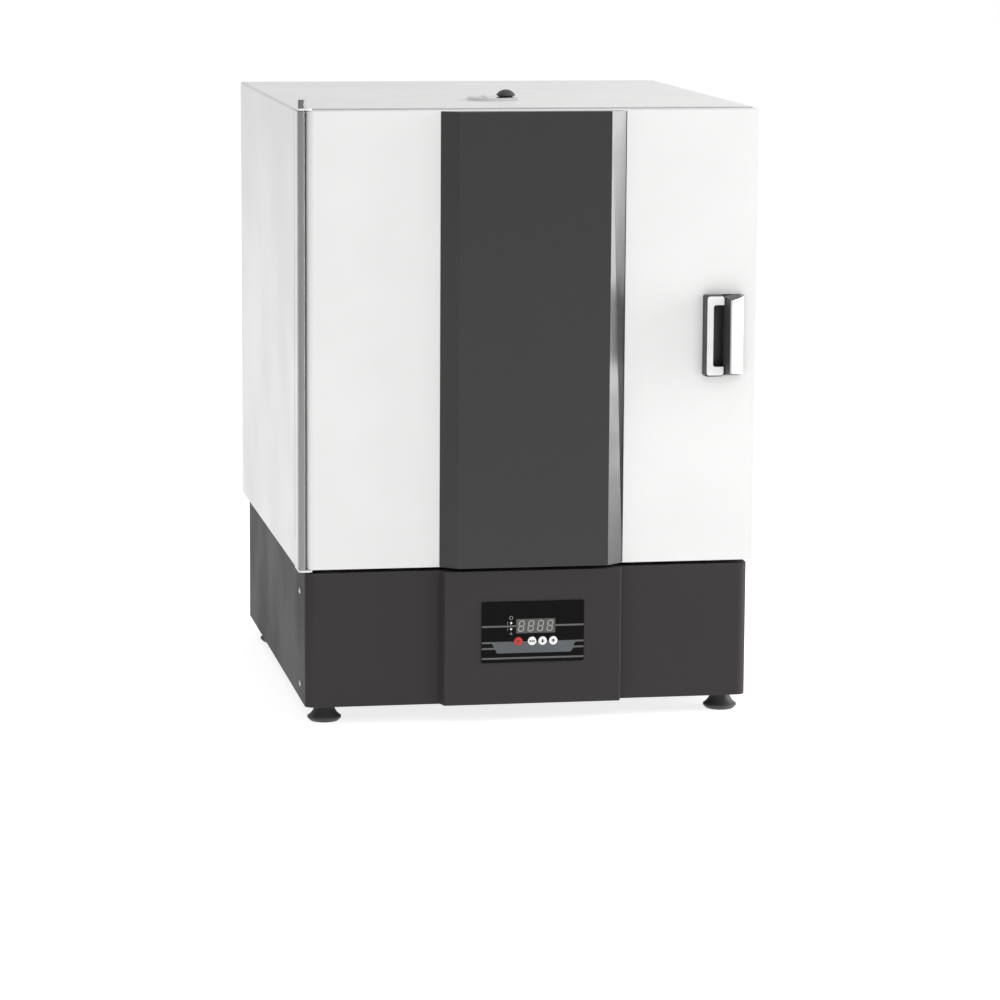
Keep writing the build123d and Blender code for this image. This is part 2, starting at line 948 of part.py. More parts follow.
def door_face():
    """Plan of the door: square right edge, left edge coved in round the rod."""
    left = -half_cabinet
    cove = notch_x + cove_radius
    right = half_cabinet
    lines = [
        Line((left, door_rear), (left, notch_y)),
        Line((left, notch_y), (notch_x, notch_y)),
        Line((notch_x, notch_y), (notch_x, door_front + cove_radius)),
        ThreePointArc(
            (notch_x, door_front + cove_radius),
            (cove - cove_radius * 0.70711, door_front + cove_radius * 0.29289),
            (cove, door_front),
        ),
        Line((cove, door_front), (right - bend_radius, door_front)),
        ThreePointArc(
            (right - bend_radius, door_front),
            (right - bend_radius * 0.29289, door_front + bend_radius * 0.29289),
            (right, door_front + bend_radius),
        ),
        Line((right, door_front + bend_radius), (right, door_rear)),
        Line((right, door_rear), (left, door_rear)),
    ]
    return make_face(lines)


def latch_opening(y0, y1):
    """Opening in the door skin for the finger pocket and the latch arm."""
    return slab(
        pocket_left - pocket_wall - seat_gap, lever_x + seat_gap, y0, y1,
        latch_z - pocket_height / 2 - pocket_wall - seat_gap,
        latch_z + pocket_height / 2 + pocket_wall + seat_gap,
    )


def door_skin():
    """Outer skin of the door, folded round all four edges and open behind."""
    face = door_face()
    block = raise_plan(face, door_bottom, door_top)
    inner = offset(face, amount=-sheet, kind=Kind.INTERSECTION)
    hollow = raise_plan(inner, door_bottom + sheet, door_top - sheet)
    mouth = slab(
        -half_cabinet + sheet, half_cabinet - sheet, door_rear - 2 * sheet, door_rear,
        door_bottom + sheet, door_top - sheet,
    )
    skin = block - hollow - mouth
    return skin - latch_opening(door_front, door_front + sheet)


def pan_recess_size():
    """Half width, bottom and top of the recess in the inner pan."""
    return (
        half_chamber - pan_border,
        chamber_floor + pan_border,
        chamber_top - pan_border,
    )


def strike_opening(y0, y1):
    """Opening in the inner pan that the strike enters."""
    half = strike_ear_width / 2 + 5.0
    tall = strike_gap() / 2 + strike_ear + 5.0
    return slab(strike_x - half, strike_x + half, y0, y1, latch_z - tall, latch_z + tall)


def strike_gap():
    """Clear height between the ears of the strike."""
    return arm_height + 4.0


def door_inner_pan():
    """Inner sheet of the door with a shallow recess facing the chamber."""
    side = half_cabinet - sheet
    half, low, high = pan_recess_size()
    plate = slab(
        -side, side, door_rear - sheet, door_rear, door_bottom + sheet, door_top - sheet,
    )
    tray = slab(
        -half - sheet, half + sheet, door_rear - pan_recess - sheet, door_rear,
        low - sheet, high + sheet,
    )
    recess = slab(-half, half, door_rear - pan_recess, door_rear, low, high)
    pan = plate + tray - recess
    return pan - strike_opening(door_rear - sheet, door_rear)


def door_insulation():
    """Foam that fills the door round the pan recess and the latch space."""
    inner = offset(door_face(), amount=-sheet - seat_gap, kind=Kind.INTERSECTION)
    low_z = door_bottom + sheet + seat_gap
    block = raise_plan(inner, low_z, door_top - sheet - seat_gap)
    half, low, high = pan_recess_size()
    grow = sheet + seat_gap
    block -= slab(
        -half_cabinet, half_cabinet, door_rear - grow, door_rear, door_bottom, door_top,
    )
    block -= slab(
        -half - grow, half + grow, door_rear - pan_recess - grow, door_rear,
        low - grow, high + grow,
    )
    space = slab(
        pocket_left - 8.0, strike_x + strike_ear_width / 2 + 6.0, door_front, door_rear,
        latch_z - pocket_height / 2 - 8.0, latch_z + pocket_height / 2 + 8.0,
    )
    return block - space


def door_gasket():
    """Magnetic gasket: a flat base strip with a narrower sealing lip."""
    def ring(width, y0, y1):
        out_x = chamber_width + 2 * seal_overlap + seal_width + width
        out_z = chamber_height + 2 * seal_overlap + seal_width + width
        outer = front_plate(0, mouth_middle(), out_x, out_z, seal_corner, y0, y1)
        inner = front_plate(
            0, mouth_middle(), out_x - 2 * width, out_z - 2 * width,
            seal_corner - width + 1.0, y0, y1,
        )
        return outer - inner
    base_depth = (seal_gap - seat_gap) / 2
    return (
        ring(seal_width, door_rear, door_rear + base_depth)
        + ring(seal_lip, door_rear + base_depth, shell_front - seat_gap)
    )


def door_panel():
    """Dark chamfered panel down the middle of the door, a hollow folded sheet."""
    return raised_panel(door_front - panel_raise, panel_chamfer, door_bottom, door_top)


def hinge_rod():
    """Bright rod down the left front edge, bored at both ends for the pins."""
    low = door_bottom
    high = door_top
    rod = upright(rod_x, rod_y, low, high, rod_radius)
    bore = pin_radius + running_fit
    rod -= upright(rod_x, rod_y, high - pin_reach - 2.0, high, bore)
    rod -= upright(rod_x, rod_y, low, low + pin_reach + 2.0, bore)
    return rod


def hinge_plan(rear):
    """Plan of a hinge plate: a strip with a round nose about the hinge axis."""
    nose = rod_x - (-half_cabinet)
    left = -half_cabinet
    right = left + hinge_plate_width
    bulge = rod_y - nose
    return make_face([
        Line((left, rear), (left, rod_y)),
        ThreePointArc(
            (left, rod_y), (left + nose * 0.29289, rod_y - nose * 0.70711), (rod_x, bulge),
        ),
        Line((rod_x, bulge), (right - nose, bulge)),
        ThreePointArc(
            (right - nose, bulge), (right - nose * 0.29289, rod_y - nose * 0.70711),
            (right, rod_y),
        ),
        Line((right, rod_y), (right, rear)),
        Line((right, rear), (left, rear)),
    ])


def hinge_plate_top():
    """Thin plate on the cabinet top that carries the upper hinge pin."""
    face = hinge_plan(shell_front + hinge_plate_run)
    plate = raise_plan(face, cabinet_top, cabinet_top + hinge_plate_thickness)
    return plate - upright(
        rod_x, rod_y, cabinet_top, cabinet_top + hinge_plate_thickness, pin_radius,
    )


def hinge_plate_bottom():
    """Angle under the door that carries the lower hinge pin."""
    high = door_bottom - seat_gap
    low = high - hinge_plate_thickness
    tab = raise_plan(hinge_plan(shell_front), low, high)
    leg = slab(
        -half_cabinet, -half_cabinet + hinge_plate_width,
        shell_front - hinge_plate_thickness, shell_front, low, low + hinge_leg_height,
    )
    return tab + leg - upright(rod_x, rod_y, low, high, pin_radius)


def hinge_pins():
    """Upper pin with its tall dark head, and the plain lower pin."""
    plate_top = cabinet_top + hinge_plate_thickness
    upper = upright(rod_x, rod_y, door_top - pin_reach, plate_top, pin_radius)
    head = upright(rod_x, rod_y, plate_top, plate_top + pin_head_height, pin_head_radius)
    head = chamfer(head.edges().group_by(Axis.Z)[-1], 0.6)
    low = door_bottom - seat_gap - hinge_plate_thickness
    lower = upright(rod_x, rod_y, low, door_bottom + pin_reach, pin_radius)
    return Compound(children=[upper + head, lower])


# Latch

def latch_housing():
    """Moulded latch body: drafted rim on the left, thin root on the right, pocket."""
    right = lever_edge_x() - seat_gap
    high = front_plate(
        (latch_left + right) / 2, latch_z, right - latch_left,
        latch_height, pocket_corner, door_front - latch_body_depth, door_front,
    )
    draft = plan_face([
        (latch_left, door_front),
        (latch_left + latch_draft, door_front - latch_body_depth),
        (right, door_front - latch_body_depth),
        (right, door_front),
    ])
    rim = high & raise_plan(draft, latch_z - latch_height, latch_z + latch_height)
    root = front_plate(
        (latch_left + latch_right) / 2, latch_z, latch_right - latch_left, latch_height,
        pocket_corner, door_front - latch_root, door_front,
    )
    cup = front_plate(
        (pocket_left + pocket_right) / 2, latch_z,
        pocket_right - pocket_left + 2 * pocket_wall, pocket_height + 2 * pocket_wall,
        pocket_corner + pocket_wall, door_front - latch_root, door_front + pocket_depth + pocket_wall,
    )
    hole = front_plate(
        (pocket_left + pocket_right) / 2, latch_z, pocket_right - pocket_left,
        pocket_height, pocket_corner, door_front - 2 * latch_body_depth, door_front + pocket_depth,
    )
    slot = slab(
        pocket_right + pocket_wall + seat_gap, lever_x + seat_gap,
        door_front - latch_root, door_front,
        latch_z - arm_height / 2 - 1.0, latch_z + arm_height / 2 + 1.0,
    )
    body = rim + root + cup - hole - slot
    for z0, z1 in ear_spans():
        ear = upright(lever_x, lever_y, z0, z1, ear_radius)
        ear += slab(
            lever_x - ear_radius, lever_x + ear_radius,
            lever_y, door_front - latch_root, z0, z1,
        )
        body += ear - upright(lever_x, lever_y, z0, z1, lever_pin_radius)
    return body


def ear_spans():
    """Height spans of the two ears that hold the lever pin."""
    centres = (latch_z - ear_offset, latch_z + ear_offset)
    return [(z - ear_height / 2, z + ear_height / 2) for z in centres]


def lever_edge_x():
    """Left edge of the lever at its back."""
    return lever_x - lever_edge + lever_nose_radius


def latch_face():
    """Bright cover plate on the drafted rim of the latch body."""
    front = door_front - latch_body_depth
    left = latch_left + latch_draft
    right = lever_edge_x() - seat_gap
    plate = front_plate(
        (left + right) / 2, latch_z, right - left, latch_height - latch_draft,
        pocket_corner, front - face_plate, front,
    )
    window = front_plate(
        (pocket_left + pocket_right) / 2, latch_z, pocket_right - pocket_left,
        pocket_height, pocket_corner, front - face_plate, front,
    )
    return plate - window


def latch_lever():
    """Wedge-shaped pull lever with bevelled ends and a round hinge edge."""
    edge = lever_edge_x()
    back = door_front - lever_back
    crest_x = edge + lever_lean
    crest_y = door_front - latch_reach
    heel_x = lever_x - lever_heel
    nose_back = lever_y + lever_nose_radius
    nose_front_y = lever_y - lever_nose_radius * 0.5
    nose_front_x = lever_x + lever_nose_radius * 0.86603
    section = make_face([
        Line((edge, back), (crest_x, crest_y)),
        ThreePointArc(
            (crest_x, crest_y),
            ((crest_x + nose_front_x) / 2 + 1.2, (crest_y + nose_front_y) / 2 - 1.2),
            (nose_front_x, nose_front_y),
        ),
        ThreePointArc(
            (nose_front_x, nose_front_y),
            (lever_x + lever_nose_radius * 0.70711, lever_y + lever_nose_radius * 0.70711),
            (lever_x, nose_back),
        ),
        Line((lever_x, nose_back), (heel_x, nose_back)),
        Line((heel_x, nose_back), (edge, back)),
    ])
    crest = section.vertices().group_by(Axis.Y)[0]
    section = fillet(crest, lever_crest_round)
    low = latch_z - latch_height / 2
    high = latch_z + latch_height / 2
    body = raise_plan(section, low, high)
    root = door_front - latch_root
    for end, sign in ((low, -1), (high, 1)):
        cut = Plane.YZ * make_face(Polyline(
            (root, end), (crest_y - 1, end - sign * lever_bevel),
            (crest_y - 1, end + sign * 2), (root, end + sign * 2), close=True,
        ))
        body -= Pos(edge - 2, 0, 0) * extrude(cut, latch_right - edge + 4)
    body -= upright(lever_x, lever_y, low - 1, high + 1, lever_pin_radius + running_fit)
    for z0, z1 in ear_spans():
        z0 -= seat_gap
        z1 += seat_gap
        room = ear_radius + seat_gap
        body -= upright(lever_x, lever_y, z0, z1, room)
        body -= slab(
            lever_x - room, lever_x + lever_nose_radius + 1,
            lever_y, lever_y + lever_nose_radius + 1, z0, z1,
        )
    return body - arm_root()


def arm_root():
    """Root of the arm, let into the lever round its pin."""
    low = latch_z - arm_height / 2
    high = latch_z + arm_height / 2
    eye = upright(lever_x, lever_y, low, high, arm_eye_radius)
    return eye + slab(
        arm_left, arm_right, lever_y - arm_eye_radius, lever_y + lever_nose_radius + 1.0,
        low, high,
    )


def latch_arm():
    """Steel arm from the lever through the door, hooked behind the strike."""
    tip = strike_x + arm_nose_reach - strike_radius
    rear = nose_front + arm_nose
    plan = plan_face([
        (arm_left, lever_y),
        (arm_right, lever_y),
        (arm_right, nose_front),
        (tip, nose_front),
        (tip, nose_front + arm_nose / 2),
        (tip - arm_nose / 2, rear),
        (arm_left, rear),
    ])
    arm = raise_plan(plan, latch_z - arm_height / 2, latch_z + arm_height / 2)
    arm += arm_root()
    bore = lever_pin_radius + running_fit
    return arm - upright(lever_x, lever_y, latch_z - arm_height, latch_z + arm_height, bore)


def lever_pin():
    """Pivot pin of the lever, held in the two ears of the latch body."""
    low = latch_z - latch_height / 2 + seat_gap
    high = latch_z + latch_height / 2 - seat_gap
    return upright(lever_x, lever_y, low, high, lever_pin_radius)


def strike_bracket():
    """Strike plate on the front frame with two ears for the strike pin."""
    half = strike_ear_width / 2
    plate = front_plate(
        strike_x, latch_z, strike_ear_width + 4.0, strike_plate_height, 3.0,
        shell_front - strike_plate_thickness, shell_front,
    )
    gap = strike_gap() / 2
    front = strike_y - strike_radius - 1.5
    for sign in (-1, 1):
        z0, z1 = sorted((latch_z + sign * gap, latch_z + sign * (gap + strike_ear)))
        ear = slab(strike_x - half, strike_x + half, front, shell_front, z0, z1)
        ear = fillet(ear.edges().filter_by(Axis.Z).group_by(Axis.Y)[0], 4.0)
        plate += ear
    hole = upright(strike_x, strike_y, latch_z - gap - 5, latch_z + gap + 5, strike_radius / 2)
    return plate - hole


def strike_pin():
    """Shouldered pin between the strike ears."""
    gap = strike_gap() / 2
    thick = upright(strike_x, strike_y, latch_z - gap, latch_z + gap, strike_radius)
    thin = upright(
        strike_x, strike_y, latch_z - gap - strike_ear, latch_z + gap + strike_ear,
        strike_radius / 2,
    )
    return thick + thin


# Inner glass door

def glass_pane():
    """Tempered glass pane inside the chamber mouth, drilled for its knob."""
    left = glass_axis_x + clamp_lead
    right = half_chamber - glass_side_gap
    low = chamber_floor + glass_end_gap
    high = chamber_top - glass_end_gap
    pane = front_plate(
        (left + right) / 2, (low + high) / 2, right - left, high - low, 4.0,
        glass_front, glass_rear,
    )
    return pane - spindle(knob_x(), latch_z, glass_front, glass_rear, 2.0)


def knob_x():
    """Sideways place of the glass door's knob."""
    return half_chamber - glass_side_gap - knob_inset


def clamp_spans():
    """Height spans of the lower and upper glass clamps."""
    low = chamber_floor + sheet + seat_gap
    high = chamber_top - sheet - seat_gap
    return [(low, low + clamp_height), (high - clamp_height, high)]


def glass_clamps():
    """Slotted clamp blocks on the glass, bored for the pivot pins."""
    half = glass_thickness / 2 + clamp_jaw
    left = glass_axis_x - clamp_lead
    blocks = []
    for low, high in clamp_spans():
        block = slab(left, left + clamp_length, glass_axis_y - half, glass_axis_y + half, low, high)
        block = fillet(block.edges().filter_by(Axis.Z), 1.5)
        grip = slab(
            glass_axis_x + clamp_lead, left + clamp_length, glass_front, glass_rear, low, high,
        )
        bore = upright(glass_axis_x, glass_axis_y, low, high, pin_radius + running_fit)
        blocks.append(block - grip - bore)
    return Compound(children=blocks)


def glass_pivots():
    """Pivot plates on the chamber floor and roof, each with an upright pin."""
    plates = []
    spans = clamp_spans()
    ends = ((chamber_floor, spans[0][0] + 10.0), (chamber_top, spans[1][1] - 10.0))
    for wall, reach in ends:
        z0, z1 = sorted((wall, wall + (sheet if reach > wall else -sheet)))
        left = glass_axis_x - pin_radius - 1.0
        plate = slab(
            left, left + clamp_length, glass_front - 1.0, glass_rear + 6.0, z0, z1,
        )
        low, high = sorted((wall, reach))
        plates.append(plate + upright(glass_axis_x, glass_axis_y, low, high, pin_radius))
    return Compound(children=plates)


def glass_knob():
    """Turned pull knob on the glass with a flat back washer."""
    profile = Polyline(
        (0, 0), (knob_radius * 0.55, 0), (knob_radius * 0.55, knob_reach * 0.3),
        (knob_radius, knob_reach * 0.55), (knob_radius, knob_reach * 0.85),
        (knob_radius - 1.5, knob_reach), (0, knob_reach), close=True,
    )
    knob = revolve(Plane.XZ * make_face(profile), Axis.Z)
    knob = Pos(knob_x(), glass_front, latch_z) * Rot(90, 0, 0) * knob
    shank = spindle(knob_x(), latch_z, glass_front, glass_rear + 2.0, 2.0)
    washer = spindle(knob_x(), latch_z, glass_rear, glass_rear + 2.0, knob_radius * 0.6)
    return knob + shank + washer


def magnet_catch():
    """Magnet block on the right chamber wall, just behind the glass edge."""
    return slab(
        half_chamber - catch_width, half_chamber, glass_rear + seat_gap,
        glass_rear + seat_gap + catch_depth, latch_z - catch_height / 2, latch_z + catch_height / 2,
    )


# Controls

def control_plate():
    """Glossy control plate with the display window, key holes and lamp holes."""
    plate = front_plate(
        panel_middle, plate_z, plate_width, plate_height, plate_corner,
        plate_front, raised_front,
    )
    plate -= front_plate(
        window_x, window_z, window_width, window_height, 1.0, plate_front, raised_front,
    )
    for x in key_offsets:
        plate -= spindle(panel_middle + x, key_z, plate_front, raised_front, key_radius + key_gap)
    for x, z in lamp_places():
        plate -= spindle(x, z, plate_front, raised_front, lamp_radius + running_fit)
    return plate


def lamp_places():
    """Centres of the two indicator lamps on the control plate."""
    return [(panel_middle + lamp_offset_x, plate_z + z) for z in lamp_offsets_z]


def display_module():
    """Four-digit display block between the board and the control plate."""
    return slab(
        window_x - module_width / 2, window_x + module_width / 2, raised_front, board_front,
        window_z - module_height / 2, window_z + module_height / 2,
    )


def indicator_lamps():
    """Two round lamps standing on the board and ending in the control plate."""
    lamps = []
    for x, z in lamp_places():
        tip = plate_front - lamp_proud
        lamp = spindle(x, z, tip, board_front, lamp_radius)
        front_edge = lamp.edges().group_by(Axis.Y)[0]
        lamp = fillet(front_edge, lamp_radius * 0.6)
        collar = spindle(x, z, board_front - 1.2, board_front, lamp_radius + 0.5)
        lamps.append(lamp + collar)
    return Compound(children=lamps)


def push_key(x):
    """Round key cap with a flange behind the plate and a stem to its switch."""
    front = plate_front - key_proud
    rear = raised_front + key_body - plate_thickness
    cap = spindle(x, key_z, front, rear, key_radius)
    cap = fillet(cap.edges().group_by(Axis.Y)[0], 0.7)
    switch_front = board_front - switch_height
    stem = spindle(x, key_z, rear, switch_front + key_stem_entry, key_stem_radius)
    return cap + stem


def tactile_switches():
    """One switch body behind each key, bored for the key stem."""
    half = switch_size / 2
    front = board_front - switch_height
    bodies = []
    for offset_x in key_offsets:
        x = panel_middle + offset_x
        body = slab(x - half, x + half, front, board_front, key_z - half, key_z + half)
        depth = key_stem_entry + key_travel + seat_gap
        body -= spindle(x, key_z, front, front + depth, key_stem_radius + running_fit)
        bodies.append(body)
    return Compound(children=bodies)


def board_place():
    """Middle of the circuit board."""
    return panel_middle, plate_z - 1.0


def circuit_board():
    """Circuit board behind the display, keys and lamps."""
    x, z = board_place()
    return front_plate(
        x, z, board_width, board_height, 2.0, board_front, board_front + board_thickness,
    )


def controller_case():
    """Moulded rear case of the controller with four bosses under the board."""
    front = raised_front + sheet
    rear = front + case_depth
    x, z = board_place()
    wide = plate_width - 2 * case_wall
    tall = plate_height - 2 * case_wall
    case = front_plate(panel_middle, plate_z, wide, tall, plate_corner + case_wall, front, rear)
    case -= front_plate(
        panel_middle, plate_z, wide - 2 * case_wall, tall - 2 * case_wall, plate_corner,
        front, rear - case_wall,
    )
    for side_x in (-1, 1):
        for side_z in (-1, 1):
            case += spindle(
                x + side_x * (board_width / 2 - 5.0), z + side_z * (board_height / 2 - 5.0),
                board_front + board_thickness, rear - case_wall, case_boss_radius,
            )
    return case


# Electrical pieces

def power_relay():
    """Solid-state relay on the base floor, with raised terminal shoulders."""
    x0 = -relay_width / 2
    y0 = (door_front + base_rear) / 2
    z0 = base_floor + sheet
    body = slab(x0, x0 + relay_width, y0, y0 + relay_length, z0, z0 + relay_height)
    for y in (y0, y0 + relay_length - 12.0):
        body -= slab(
            x0, x0 + relay_width, y, y + 12.0, z0 + relay_height - 7.0, z0 + relay_height,
        )
    return body


def terminal_block():
    """Ribbed terminal block on the base floor."""
    x0 = relay_width + 20.0
    y0 = (door_front + base_rear) / 2
    z0 = base_floor + sheet
    body = slab(x0, x0 + block_width, y0, y0 + block_depth, z0, z0 + block_height)
    ways = 6
    pitch = block_width / ways
    for step in range(ways):
        x = x0 + step * pitch + pitch / 2
        body -= slab(
            x - pitch * 0.36, x + pitch * 0.36, y0, y0 + block_depth * 0.3,
            z0 + block_height * 0.5, z0 + block_height,
        )
        body -= slab(
            x - pitch * 0.36, x + pitch * 0.36, y0 + block_depth * 0.7, y0 + block_depth,
            z0 + block_height * 0.5, z0 + block_height,
        )
    return body


def mains_inlet():
    """Mains inlet moulding: flange, recessed socket with contacts, rocker well."""
    rear = base_rear + inlet_flange
    flange = slab(
        inlet_x - inlet_width / 2, inlet_x + inlet_width / 2, base_rear, rear,
        inlet_z - inlet_flange_height / 2, inlet_z + inlet_flange_height / 2,
    )
    flange = fillet(flange.edges().filter_by(Axis.Y), 2.0)
    inset = inlet_margin + seat_gap
    body = slab(
        inlet_x - inlet_width / 2 + inset, inlet_x + inlet_width / 2 - inset,
        base_rear - inlet_body_depth, base_rear,
        inlet_z - inlet_flange_height / 2 + inset, inlet_z + inlet_flange_height / 2 - inset,
    )
    moulding = flange + body
    x = inlet_x + socket_offset
    half = socket_width / 2
    tall = socket_height / 2
    cut = 4.5
    mouth = make_face(Polyline(
        (-half, -tall), (half, -tall), (half, tall - cut), (half - cut, tall),
        (-half + cut, tall), (-half, tall - cut), close=True,
    ))
    moulding -= front_solid(mouth, x, inlet_z, rear - socket_depth, rear)
    moulding -= rocker_well()
    moulding += socket_contacts()
    return moulding


def socket_contacts():
    """Three flat contacts on the floor of the mains socket."""
    x = inlet_x + socket_offset
    floor = base_rear + inlet_flange - socket_depth
    places = [(-contact_spread, 0.0), (contact_spread, 0.0), (0.0, contact_height)]
    return [
        slab(
            x + px - contact_width / 2, x + px + contact_width / 2,
            floor, floor + contact_length,
            inlet_z + pz - 2.0 - contact_height / 2, inlet_z + pz - 2.0 + contact_height / 2,
        )
        for px, pz in places
    ]


def rocker_axis_y():
    """Depth of the rocker's pivot axis."""
    return base_rear + inlet_flange - rocker_axis_depth


def rocker_well():
    """Well in the inlet moulding that the rocker tilts in."""
    x = inlet_x + rocker_offset
    half = rocker_width / 2 + rocker_gap
    tall = rocker_well_height / 2
    well = slab(
        x - half, x + half, rocker_axis_y() - 2 * rocker_root, base_rear + inlet_flange,
        inlet_z - tall, inlet_z + tall,
    )
    reach = half + rocker_pin_reach
    bore = rocker_pin_radius + running_fit
    return well + cross_rod(rocker_axis_y(), inlet_z, x - reach, x + reach, bore)


def power_rocker():
    """Rocker of the mains switch, dished between its ends and tilted to one side."""
    tall = rocker_height / 2
    crest = rocker_crest
    edge = rocker_crest - rocker_edge
    root = rocker_root
    section = make_face([
        Line((-root, -root), (-root, root)),
        Line((-root, root), (edge, tall)),
        Line((edge, tall), (crest, tall)),
        ThreePointArc((crest, tall), (crest - rocker_dish, 0.0), (crest, -tall)),
        Line((crest, -tall), (edge, -tall)),
        Line((edge, -tall), (-root, -root)),
    ])
    body = Pos(-rocker_width / 2, 0, 0) * extrude(Plane.YZ * section, rocker_width)
    reach = rocker_width / 2 + rocker_gap + rocker_pin_reach - seat_gap
    body += cross_rod(0, 0, -reach, reach, rocker_pin_radius)
    x = inlet_x + rocker_offset
    return Pos(x, rocker_axis_y(), inlet_z) * Rot(-rocker_tilt, 0, 0) * body


def build_pieces():
    """Every piece of the incubator, by node name."""
    pieces = {
        "base_chassis": base_chassis(),
        "base_front_cover": base_front_cover(),
        "base_centre_panel": base_centre_panel(),
        "base_rear_panel": base_rear_panel(),
        "panel_screws": panel_screws(),
        "foot_nuts": foot_nuts(),
        "cabinet_shell": cabinet_shell(),
        "cabinet_floor": cabinet_floor(),
        "cabinet_rear_panel": cabinet_rear_panel(),
        "front_frame": front_frame(),
        "chamber_liner": chamber_liner(),
        "insulation_jacket": insulation_jacket(),
        "heater_element": heater_element(),
        "heater_cover": heater_cover(),
        "shelf_racks": shelf_racks(),
        "shelf_lower": wire_shelf(min(shelf_ledge_numbers)),
        "shelf_upper": wire_shelf(max(shelf_ledge_numbers)),
        "temperature_probe": temperature_probe(),
        "vent_pipe": vent_pipe(),
        "vent_flange": vent_flange(),
        "vent_damper": vent_damper(),
        "vent_knob": vent_knob(),
        "door_skin": door_skin(),
        "door_inner_pan": door_inner_pan(),
        "door_insulation": door_insulation(),
        "door_gasket": door_gasket(),
        "door_panel": door_panel(),
        "hinge_rod": hinge_rod(),
        "hinge_plates": Compound(children=[hinge_plate_top(), hinge_plate_bottom()]),
        "hinge_pins": hinge_pins(),
        "latch_housing": latch_housing(),
        "latch_face": latch_face(),
        "latch_lever": latch_lever(),
        "latch_arm": latch_arm(),
        "lever_pin": lever_pin(),
        "strike_bracket": strike_bracket(),
        "strike_pin": strike_pin(),
        "glass_pane": glass_pane(),
        "glass_clamps": glass_clamps(),
        "glass_pivots": glass_pivots(),
        "glass_knob": glass_knob(),
        "magnet_catch": magnet_catch(),
        "control_plate": control_plate(),
        "display_module": display_module(),
        "indicator_lamps": indicator_lamps(),
        "tactile_switches": tactile_switches(),
        "circuit_board": circuit_board(),
        "controller_case": controller_case(),
        "power_relay": power_relay(),
        "terminal_block": terminal_block(),
        "mains_inlet": mains_inlet(),
        "power_rocker": power_rocker(),
    }
    for name, offset_x in zip(key_names, key_offsets):
        pieces[name] = push_key(panel_middle + offset_x)
    for name, (x, y) in foot_places().items():
        pieces[name] = Pos(x, y, 0) * foot()
    return pieces


def main():
    os.makedirs("parts", exist_ok=True)
    for name, shape in build_pieces().items():
        export_step(shape, f"parts/{name}.step")


main()
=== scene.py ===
"""Looks for the laboratory incubator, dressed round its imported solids. Lengths in metres."""

import json
import math

import bmesh
import bpy
from mathutils import Matrix, Vector


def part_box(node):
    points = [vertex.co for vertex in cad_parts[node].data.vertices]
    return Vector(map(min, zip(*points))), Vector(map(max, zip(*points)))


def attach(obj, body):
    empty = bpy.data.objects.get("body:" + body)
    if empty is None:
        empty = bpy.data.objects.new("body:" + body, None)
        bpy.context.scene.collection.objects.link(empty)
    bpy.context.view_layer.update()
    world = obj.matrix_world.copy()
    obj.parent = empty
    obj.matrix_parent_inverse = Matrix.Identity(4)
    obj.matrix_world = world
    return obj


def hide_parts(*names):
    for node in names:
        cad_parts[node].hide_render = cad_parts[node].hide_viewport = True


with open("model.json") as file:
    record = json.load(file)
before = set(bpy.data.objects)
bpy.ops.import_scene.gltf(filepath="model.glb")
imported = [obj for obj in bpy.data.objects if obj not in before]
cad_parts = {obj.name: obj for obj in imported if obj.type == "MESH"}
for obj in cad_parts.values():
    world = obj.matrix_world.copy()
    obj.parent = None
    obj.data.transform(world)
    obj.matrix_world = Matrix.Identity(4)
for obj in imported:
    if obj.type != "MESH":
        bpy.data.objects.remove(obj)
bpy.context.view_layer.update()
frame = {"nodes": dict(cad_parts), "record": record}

nodes = frame["nodes"]
MM = 0.001

# Places on the control plate, in millimetres, seen from the front
PLATE_LEFT = -60.0
PLATE_RIGHT = 66.0
PLATE_FRONT = -305.5
WINDOW_X = 6.5
WINDOW_Z = 117.0
WINDOW_WIDTH = 48.0
WINDOW_HEIGHT = 17.5
WINDOW_CORNER = 0.8
WINDOW_RISE = 0.25
DIGIT_HEIGHT = 13.4
DIGIT_WIDTH = 7.2
DIGIT_BAR = 1.15
DIGIT_BAR_GAP = 0.28
DIGIT_LEAN = 0.14
DIGIT_PITCH = 11.7
PRINT_THICKNESS = 0.06
PRINT_LINE = 2.1
PRINT_LINE_END = 0.4
KEY_Z = 98.5
KEY_FRONT = -306.9
KEY_X = {"power": -15.0, "set": 2.0, "down": 15.0, "up": 28.0}
LAMP_X = -23.7
LAMP_LOWER_Z = 113.5
LAMP_UPPER_Z = 121.0

# Printed rules of the control plate: from x, to x, height z
PRINT_RULES = (
    (PLATE_LEFT, WINDOW_X - WINDOW_WIDTH / 2, 117.1),
    (WINDOW_X + WINDOW_WIDTH / 2, PLATE_RIGHT, 117.1),
    (PLATE_LEFT, -45.0, 97.2),
    (55.0, PLATE_RIGHT, 97.2),
    (PLATE_LEFT, -43.2, 90.0),
    (52.0, PLATE_RIGHT, 90.0),
    (PLATE_LEFT, PLATE_RIGHT, 77.8),
)

# Blue grey panel behind the keys
KEY_PANEL_OUTLINE = ((-48.0, 98.2), (-41.0, 84.0), (50.0, 84.0), (53.8, 90.0), (53.4, 93.0),
                     (57.5, 98.2))
KEY_PANEL_CORNER = 2.0

# Marks round the two lamps: a ring above, a wedge below, an arc to the left of each
LAMP_RING_RISE = 6.4
LAMP_RING_RADII = (1.7, 2.4)
LAMP_WEDGE_HALF = 1.7
LAMP_WEDGE_FOOT = 6.6
LAMP_WEDGE_TIP = 3.8
LAMP_ARC_RADII = (4.2, 4.7)
LAMP_ARC_START = 155.0
LAMP_ARC_SWEEP = 50.0

